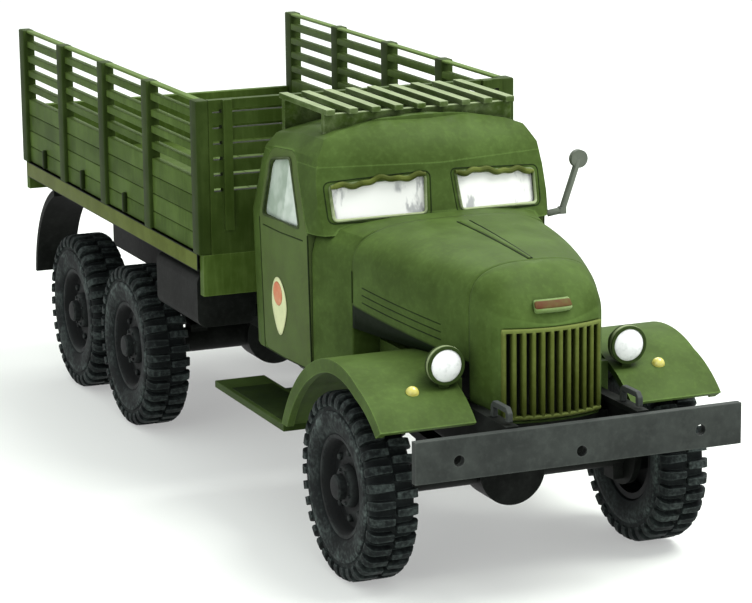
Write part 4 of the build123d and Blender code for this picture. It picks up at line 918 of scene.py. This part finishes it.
class TRUCK_OT_windows(bpy.types.Operator):
    """Lay beads round the panes and the wipers along the windscreen's top"""
    bl_idname = "truck.windows"
    bl_label = "Window beads and wipers"

    def execute(self, context):
        beads, wipers = Form(), Form()
        bead = sizes().gasket_bead
        for sign in SIGNS:
            out, up = cornered(PANE, 0.35).T
            low = np.clip(1.2 - up, 0, 1)
            ring(beads, on_screen(sign, out, up, 0.02), bead, screen_face(sign, 0.2),
                 tone=np.repeat(0.9 * low, 8))
            # the door window's bead is darkened by its tone: a painted shadow of the frame round
            # the glass
            along, height = cornered(DOOR_WINDOW, 0.5).T
            ring(beads, on_side(sign, along, height, 0.02), bead * 0.75, (0.0, sign, 0.1),
                 tone=-0.6)
            self.wiper(wipers, sign)
        beads.build("window-beads", "gasket_paint")
        wipers.build("wavy-wipers", "olive_finish", instead=("wipers",))
        return {"FINISHED"}

    def wiper(self, form, sign, steps=10):
        """Round wire along the screen's top: its height is the wiper line plus two sine
        waves, and it is thicker in places and paler in places."""
        out = np.linspace(1.5, 9.3, 60)
        wave = 0.12 * np.sin(out * 1.7 + sign) + 0.07 * np.sin(out * 4.1 + sign)
        path = on_screen(sign, out, np.interp(out, *WIPER_LINE) + wave, 0.12)
        tone = -0.35 + 0.5 * np.clip(np.sin(out * 2.3), 0, 1)
        thick = np.where(np.abs(out - 5.4) < 3.6, 0.24, 0.17)
        grid = swept(path, circle(1.0, steps))
        grid = path[:, None] + (grid - path[:, None]) * thick[:, None, None]
        form.grid(grid, wrap_v=True, cap_u=True, tone=np.repeat(tone, steps))


# ------------------------------------------------------------------ cargo bed
BED_FRONT, BED_REAR = 4.875, -47.025
# posts and catches, back from the bed's front
BED_POSTS, CATCHES = (0.85, 13.6, 26.1, 38.6, 51.05), (20.4, 32.9, 45.0)
BED_LOW, BED_TOP, RAIL_LOW = 20.1, 33.25, 32.98
WALL, BED_HALF = (13.6, 14.35), 14.7
SLAT, SLAT_PITCH, SLAT_TOP = 0.68, 1.44, 32.22
POST_HALF, CATCH_HALF, CATCH_SPAN = 0.825, 0.28, (20.3, 22.1)
SILL_OUT, SILL_LOW = (13.4, 14.62), 18.6


class TRUCK_OT_bed_sides(bpy.types.Operator):
    """Make the bed's sides from planks, slats and posts"""
    bl_idname = "truck.bed_sides"
    bl_label = "Bed sides"

    def execute(self, context):
        chance = np.random.default_rng(7)
        tops = SLAT_TOP - SLAT_PITCH * np.arange(4)
        planks = np.linspace(BED_LOW, SLAT_TOP - 4 * SLAT_PITCH, 5)
        spans = [(top - SLAT, top) for top in tops] + [(RAIL_LOW, BED_TOP - 0.03)]
        spans += [(low + 0.01, high - 0.01) for low, high in zip(planks, planks[1:])]
        for side, sign in SIDES:
            form, sill, hooks = Form(), Form(), Form()
            for span in spans:
                # the top rail's paler tone is a painted highlight on the side's top; the other
                # planks differ at random
                extra_tone = 0.45 if span[0] == RAIL_LOW else chance.uniform(-0.12, 0.15)
                self.plank(form, sign, (BED_REAR + 0.1, BED_FRONT - 0.1), WALL, span, extra_tone)
            for x in BED_FRONT - np.array(BED_POSTS):
                self.plank(form, sign, (x - POST_HALF, x + POST_HALF),
                           (WALL[0] - 0.04, BED_HALF), (BED_LOW, BED_TOP), -0.6)
            self.plank(sill, sign, (BED_REAR + 0.9, BED_FRONT - 0.9), SILL_OUT,
                       (SILL_LOW, BED_LOW), 0.1)
            for x in BED_FRONT - np.array(CATCHES):
                self.plank(hooks, sign, (x - CATCH_HALF, x + CATCH_HALF),
                           (WALL[1] - 0.05, BED_HALF), CATCH_SPAN, -0.9)
            form.build("planks-" + side, "bed_paint", instead=("bed_side_" + side,))
            sill.build("sill-" + side, "olive_finish", slot="olive_paint")
            hooks.build("catches-" + side, "bed_paint")
        self.boards(chance)
        return {"FINISHED"}

    def boards(self, chance):
        """Boards of the bed's floor, side by side along the bed."""
        low, high = node_box("bed_floor")
        edges = np.linspace(low[1], high[1], 12)
        form = Form()
        for first, last in zip(edges, edges[1:]):
            block(form, (low[0], first + 0.01, low[2]), (high[0], last - 0.01, high[2]), 0.10,
                  chance.uniform(-0.2, 0.1))
        form.build("floor-boards", "bed_paint", instead=("bed_floor",))

    def plank(self, form, sign, along, out, height, tone):
        """Rounded board between two places along, out and up, with its tone."""
        (x0, x1), (z0, z1) = along, height
        y0, y1 = sorted((sign * out[0], sign * out[1]))
        block(form, (x0, y0, z0), (x1, y1, z1), min(0.13, (z1 - z0) / 2.2), tone)


# ------------------------------------------------------------------ lamps and marks
# turned profiles: radius, forward
DOME = ((1.38, -0.35), (1.38, 0.0), (1.30, 0.12), (1.05, 0.25), (0.66, 0.35), (0.28, 0.40),
        (0.0, 0.41))
HOOP = ((1.36, -0.25), (1.50, -0.25), (1.53, 0.0), (1.48, 0.09), (1.42, 0.09), (1.36, 0.0))
BALL = ((0.0, -0.45), (0.36, -0.42), (0.50, -0.2), (0.53, 0.05), (0.43, 0.28), (0.24, 0.4),
        (0.0, 0.44))
# behind the node's front, out and up
HEADLAMP, MARKER = (0.30, 7.7, 17.65), (0.45, 10.4, 15.8)
NOSE_BAR_HALF, NOSE_BAR_UP = 1.5, 22.0
# middle along and up, half width, half height
SHIELD, DISC_MARK = (13.6, 17.2, 1.55, 2.45), (13.5, 18.25, 0.95, 1.0)


class TRUCK_OT_lamps(bpy.types.Operator):
    """Make the domed lamp glasses and the plain marks of the door and the nose"""
    bl_idname = "truck.lamps"
    bl_label = "Lamps and marks"

    def execute(self, context):
        self.pair(DOME, "headlamp_lenses", HEADLAMP, 40).build(
            "lamp-glass", "lamp_glass", slot="lamp_silver", instead=("headlamp_lenses",))
        self.pair(HOOP, "headlamp_lenses", HEADLAMP, 48, wrap_u=True, tone=0.5).build(
            "lamp-rims", "gasket_paint")
        self.pair(BALL, "marker_lamps", MARKER, 24).build(
            "marker-glass", "marker_glass", slot="lamp_gold", instead=("marker_lamps",))
        self.shields()
        self.nose_bar()
        return {"FINISHED"}

    def pair(self, profile, node, place, steps, **joins):
        """A profile turned about the way ahead, on both sides of the truck."""
        back, out, up = place
        form = Form()
        for sign in SIGNS:
            middle = (node_box(node)[1][0] - back, sign * out, up)
            form.grid(turned(profile, middle, AHEAD, steps), wrap_v=True, **joins)
        return form

    def shields(self):
        """Plain shield on each door, an oval that narrows downwards, with a round disc."""
        reach = np.linspace(0, 1, 9)[:, None]
        angle = np.linspace(0, 2 * np.pi, 48, endpoint=False)[None]
        up = np.sin(angle)
        for name, finish, mark, narrow, off in (
                ("door-shield", "shield_cream", SHIELD, 0.30, 0.07),
                ("door-disc", "shield_red", DISC_MARK, 0.0, 0.11)):
            along, height, wide, tall = mark
            along = along + reach * (wide * np.cos(angle) * (1 - narrow * np.clip(-up, 0, 1)))
            height = height + reach * (tall * up)
            form = Form()
            for sign in SIGNS:
                flat = on_side(sign, along.ravel(), height.ravel(), off)
                form.grid(flat.reshape(*along.shape, 3), wrap_v=True)
            walled(form.build(name, finish, outward=False), 0.05)

    def nose_bar(self):
        """Plain bar across the nose with a pale rim, laid on the slope above the grille."""
        sideways = np.linspace(-NOSE_BAR_HALF, NOSE_BAR_HALF, 13)
        for name, finish, reach, grow in (("nose-bar-rim", "bar_rim", 0.0, 0.50),
                                          ("nose-bar", "bar_red", 0.08, 0.34)):
            form = Form()
            path = points(nose_front(sideways) - 0.62 + reach, sideways,
                          NOSE_BAR_UP + reach * 0.5)
            form.grid(swept(path, rounded(0.30, grow, 0.15), up=(-0.62, 0.0, 0.78), ends=0.15),
                      wrap_v=True, cap_u=True)
            form.build(name, finish)


# ------------------------------------------------------------------ wheels
WHEEL_OUT = 12.35
# tyre body: radius, outward place, tone
CARCASS = (
    (4.02, -1.45, 0.0), (4.12, -1.62, 0.1), (4.75, -1.86, 0.4), (5.45, -1.93, 0.6),
    (5.8, -1.90, 1.0), (5.95, -1.78, 0.3), (6.35, -1.80, 0.2), (6.72, -1.55, 0.0),
    (6.85, -1.2, 0.0), (6.88, 0.0, 0.0), (6.85, 1.2, 0.0), (6.72, 1.55, 0.0),
    (6.35, 1.80, 0.2), (5.95, 1.78, 0.3), (5.88, 1.90, 0.9), (5.62, 1.97, 1.0),
    (5.40, 1.93, 0.6), (4.75, 1.90, 0.45), (4.30, 1.74, 0.4), (4.12, 1.62, 0.1),
    (4.02, 1.45, 0.0),
)
BORE = ((4.02, 1.45, 0.0), (4.02, -1.45, 0.0))
# one lug, from the tread's middle to the side wall: outward place, radius, half width
LUG = (
    (0.10, 7.36, 0.22), (0.18, 7.40, 0.27), (0.95, 7.40, 0.29), (1.45, 7.38, 0.31),
    (1.78, 7.20, 0.32), (1.96, 6.86, 0.32), (2.00, 6.50, 0.30), (1.96, 6.28, 0.24),
)
LUG_ROOT, LUG_INNER, LUG_SPREAD = 6.55, 1.5, 1.12
# wheel disc and its back: radius, outward place, tone
DISC = (
    (3.98, -1.48, 0.0), (3.98, 1.30, 0.0), (4.10, 1.50, 0.5), (4.06, 1.60, 0.8),
    (3.80, 1.58, 0.6), (3.62, 1.42, 0.1), (3.46, 0.95, 0.0), (3.30, 0.62, 0.0),
    (2.95, 0.55, 0.1), (2.35, 0.72, 0.3), (2.15, 0.74, 0.4), (1.95, 0.70, 0.1),
    (1.72, 0.72, 0.0), (1.62, 1.18, 0.4), (1.50, 1.30, 0.6), (1.15, 1.34, 0.2),
    (1.02, 1.42, 0.1), (0.98, 1.92, 0.5), (0.84, 2.06, 0.7), (0.45, 2.10, 0.3),
    (0.0, 2.10, 0.3),
)
BACK = (
    (3.98, -1.48, 0.0), (3.50, -1.48, 0.0), (3.30, 0.15, 0.0), (1.70, 0.05, 0.0),
    (1.70, -1.28, 0.0), (0.86, -1.28, 0.0),
)
# rings of nuts: ring's radius, one nut's radii and outward places, turn in steps
NUT_RINGS = (
    (2.62, ((0.30, 0.40), (0.30, 0.88), (0.22, 0.96), (0.0, 0.98)), 0.0),
    (1.32, ((0.14, 1.1), (0.14, 1.42), (0.10, 1.47), (0.0, 1.48)), 0.5),
)


def wheel_place(wheel):
    """Wheel's centre and the way its outer face looks."""
    low, high = node_box("tyre_" + wheel)
    centre = (low + high) / 2
    sign = 1.0 if centre[1] > 0 else -1.0
    centre[1] = sign * WHEEL_OUT
    return centre, sign


def wheel_turned(form, profile, centre, sign, steps):
    """Profile of radius, outward place and tone, turned about the wheel's axle."""
    profile = np.asarray(profile, float)
    form.grid(turned(profile[:, :2], centre, (0.0, sign, 0.0), steps), wrap_v=True,
              tone=np.repeat(profile[:, 2], steps))


def tread_lugs(centre, sign, count):
    """Two staggered rows of lugs at equal angles round the wheel: each is a four-sided bar
    bent over the shoulder, whose points lie at the radius times the cosine and sine of the
    lug's angle plus their place across it over the radius."""
    out, radius, half = np.asarray(LUG).T
    root = np.minimum(radius - 0.1, LUG_ROOT)
    inner = np.minimum(out, LUG_INNER)
    across = np.stack([-half * LUG_SPREAD, -half, half, half * LUG_SPREAD], axis=-1)
    height = np.stack([root, radius, radius, root], axis=-1)[None]
    side = np.stack([inner, out, out, inner], axis=-1)[None]
    grids = []
    for row, start in ((-1.0, 0.75), (1.0, 0.25)):
        angle = (np.arange(count) + start) * 2 * np.pi / count
        turn = angle[:, None, None] + across / height
        grids.append(points(centre[0] + height * np.cos(turn), centre[1] + sign * row * side,
                            centre[2] + height * np.sin(turn)))
    return np.concatenate(grids)


class TRUCK_OT_tyres(bpy.types.Operator):
    """Make the six tyres with their lugs"""
    bl_idname = "truck.tyres"
    bl_label = "Tyres"

    def execute(self, context):
        extra_tone = np.tile([0.0, 0.5, 0.5, 0.0], len(LUG))
        for wheel in WHEELS:
            centre, sign = wheel_place(wheel)
            form = Form()
            wheel_turned(form, CARCASS, centre, sign, 96)
            wheel_turned(form, BORE, centre, sign, 96)
            for lug in tread_lugs(centre, sign, sizes().lug_count):
                form.grid(lug, wrap_v=True, cap_u=True, tone=extra_tone)
            form.build("tyre-" + wheel, "tyre_rubber", 38.0, body="wheel_" + wheel, slot="tyre",
                       instead=("tyre_" + wheel,))
        return {"FINISHED"}


class TRUCK_OT_rims(bpy.types.Operator):
    """Make the wheel discs with their hubs and nuts"""
    bl_idname = "truck.rims"
    bl_label = "Wheel discs"

    def execute(self, context):
        studs = sizes().wheel_studs
        for wheel in WHEELS:
            centre, sign = wheel_place(wheel)
            form = Form()
            for profile in (DISC, BACK):
                wheel_turned(form, profile, centre, sign, 72)
            for ring_radius, nut, start in NUT_RINGS:
                for turn in (np.arange(studs) + start) * 2 * np.pi / studs:
                    place = centre + ring_radius * np.array((np.cos(turn), 0.0, np.sin(turn)))
                    form.grid(turned(nut, place, (0.0, sign, 0.0), 6), wrap_v=True, tone=0.7)
            form.build("disc-" + wheel, "rim_finish", body="wheel_" + wheel, slot="rim_paint",
                       instead=("rim_" + wheel,))
        return {"FINISHED"}


# ------------------------------------------------------------------ stage
# lamp, place in millimetres, size in millimetres, watts
LAMPS = (
    ("key", (90.0, 150.0, 320.0), 220.0, 1.5),
    ("fill", (190.0, -220.0, 150.0), 220.0, 0.12),
    ("rim", (-160.0, 60.0, 220.0), 200.0, 0.3),
)
LAMP_TARGET = (0.0, 0.0, 12.0)
FLOOR_REACH = 1500.0
WHITE = (1.0, 1.0, 1.0)


class TRUCK_OT_stage(bpy.types.Operator):
    """Lay the floor and set the camera and the lamps"""
    bl_idname = "truck.stage"
    bl_label = "Set the stage"

    def execute(self, context):
        stage, scene = context.scene.truck_stage, context.scene
        scene.view_settings.view_transform = "Standard"
        self.camera(scene, stage)
        self.lamps(scene)
        self.floor(scene, stage)
        self.world(scene, stage)
        return {"FINISHED"}

    def camera(self, scene, stage):
        """Camera at a bearing, height and distance from its target, looking at it."""
        az, el, roll = np.radians((stage.azimuth, stage.elevation, stage.roll))
        back = np.array((np.sin(az) * np.cos(el), -np.cos(az) * np.cos(el), np.sin(el)))
        right = np.array((np.cos(az), np.sin(az), 0.0))
        up = np.cross(back, right)
        data = bpy.data.cameras.new("camera")
        data.sensor_width = 36.0
        data.lens = stage.lens
        data.clip_start, data.clip_end = 0.01, 20.0
        axes = np.eye(4)
        axes[:3, 0] = right * np.cos(roll) + up * np.sin(roll)
        axes[:3, 1] = -right * np.sin(roll) + up * np.cos(roll)
        axes[:3, 2] = back
        axes[:3, 3] = (np.array(stage.target) + back * stage.distance) * MM
        camera = bpy.data.objects.new("camera", data)
        camera.matrix_world = Matrix(axes.tolist())
        scene.collection.objects.link(camera)
        scene.camera = camera

    def lamps(self, scene):
        """Round soft lamps that look at the truck."""
        for name, place, size, power in LAMPS:
            data = bpy.data.lights.new(name, "AREA")
            data.shape = "DISK"
            data.size = size * MM
            data.energy = power
            lamp = bpy.data.objects.new(name, data)
            lamp.location = Vector(place) * MM
            look_at = Vector(LAMP_TARGET) - Vector(place)
            lamp.rotation_euler = look_at.to_track_quat("-Z", "Y").to_euler()
            scene.collection.objects.link(lamp)

    def floor(self, scene, stage):
        """Flat pale floor that the camera sees as partly plain white."""
        sh = Shader(bpy.data.materials.new("pale_floor"))
        tone = sh.mix(sh.noise(60.0, 2.0) * 0.3, stage.floor, stage.floor_cloud)
        diffuse = sh.node("ShaderNodeBsdfDiffuse", {}, {"Color": tone})
        white = sh.node("ShaderNodeEmission", {}, {"Color": WHITE, "Strength": 1.0})
        seen = sh.white_seen(stage.floor_share)
        mesh = bpy.data.meshes.new("floor")
        corners = np.array([[-1, -1, 0], [-1, 1, 0], [1, -1, 0], [1, 1, 0]]) * FLOOR_REACH * MM
        mesh.from_pydata(corners.tolist(), [], [[0, 2, 3, 1]])
        mesh.materials.append(
            sh.show(sh.node("ShaderNodeMixShader", {}, {0: seen, 1: diffuse, 2: white})))
        floor = bpy.data.objects.new("floor", mesh)
        scene.collection.objects.link(floor)

    def world(self, scene, stage):
        """Even light from all round that the camera sees as plain white."""
        sh = Shader(bpy.data.worlds.new("plain"))
        soft, white = (sh.node("ShaderNodeBackground", {}, {"Color": tint, "Strength": 1.0})
                       for tint in (stage.sky, WHITE))
        scene.world = sh.show(
            sh.node("ShaderNodeMixShader", {}, {0: sh.white_seen(1.0), 1: soft, 2: white}))


class TRUCK_PT_panel(bpy.types.Panel):
    """Sidebar panel with the truck's pieces"""
    bl_idname = "TRUCK_PT_panel"
    bl_label = "Cargo truck"
    bl_space_type = "VIEW_3D"
    bl_region_type = "UI"
    bl_category = "Truck"

    def draw(self, context):
        for operator in STEPS:
            self.layout.operator(operator.bl_idname)


STEPS = [
    TRUCK_OT_node_looks, TRUCK_OT_soft_nodes, TRUCK_OT_hood, TRUCK_OT_grille, TRUCK_OT_seams,
    TRUCK_OT_windows, TRUCK_OT_bed_sides, TRUCK_OT_lamps, TRUCK_OT_tyres, TRUCK_OT_rims,
    TRUCK_OT_stage,
]
CLASSES = [TruckFinish, TruckSizes, TruckStage, *STEPS, TRUCK_PT_panel]


def register():
    """Add the classes and the scene's settings."""
    for item in CLASSES:
        bpy.utils.register_class(item)
    bpy.types.Scene.truck_finish = bpy.props.PointerProperty(type=TruckFinish)
    bpy.types.Scene.truck_sizes = bpy.props.PointerProperty(type=TruckSizes)
    bpy.types.Scene.truck_stage = bpy.props.PointerProperty(type=TruckStage)


def unregister():
    """Take the classes and the scene's settings away."""
    del bpy.types.Scene.truck_finish
    del bpy.types.Scene.truck_sizes
    del bpy.types.Scene.truck_stage
    for item in reversed(CLASSES):
        bpy.utils.unregister_class(item)


def main():
    """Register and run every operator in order."""
    register()
    for operator in STEPS:
        group, name = operator.bl_idname.split(".")
        getattr(getattr(bpy.ops, group), name)()


if __name__ == "__main__":
    main()
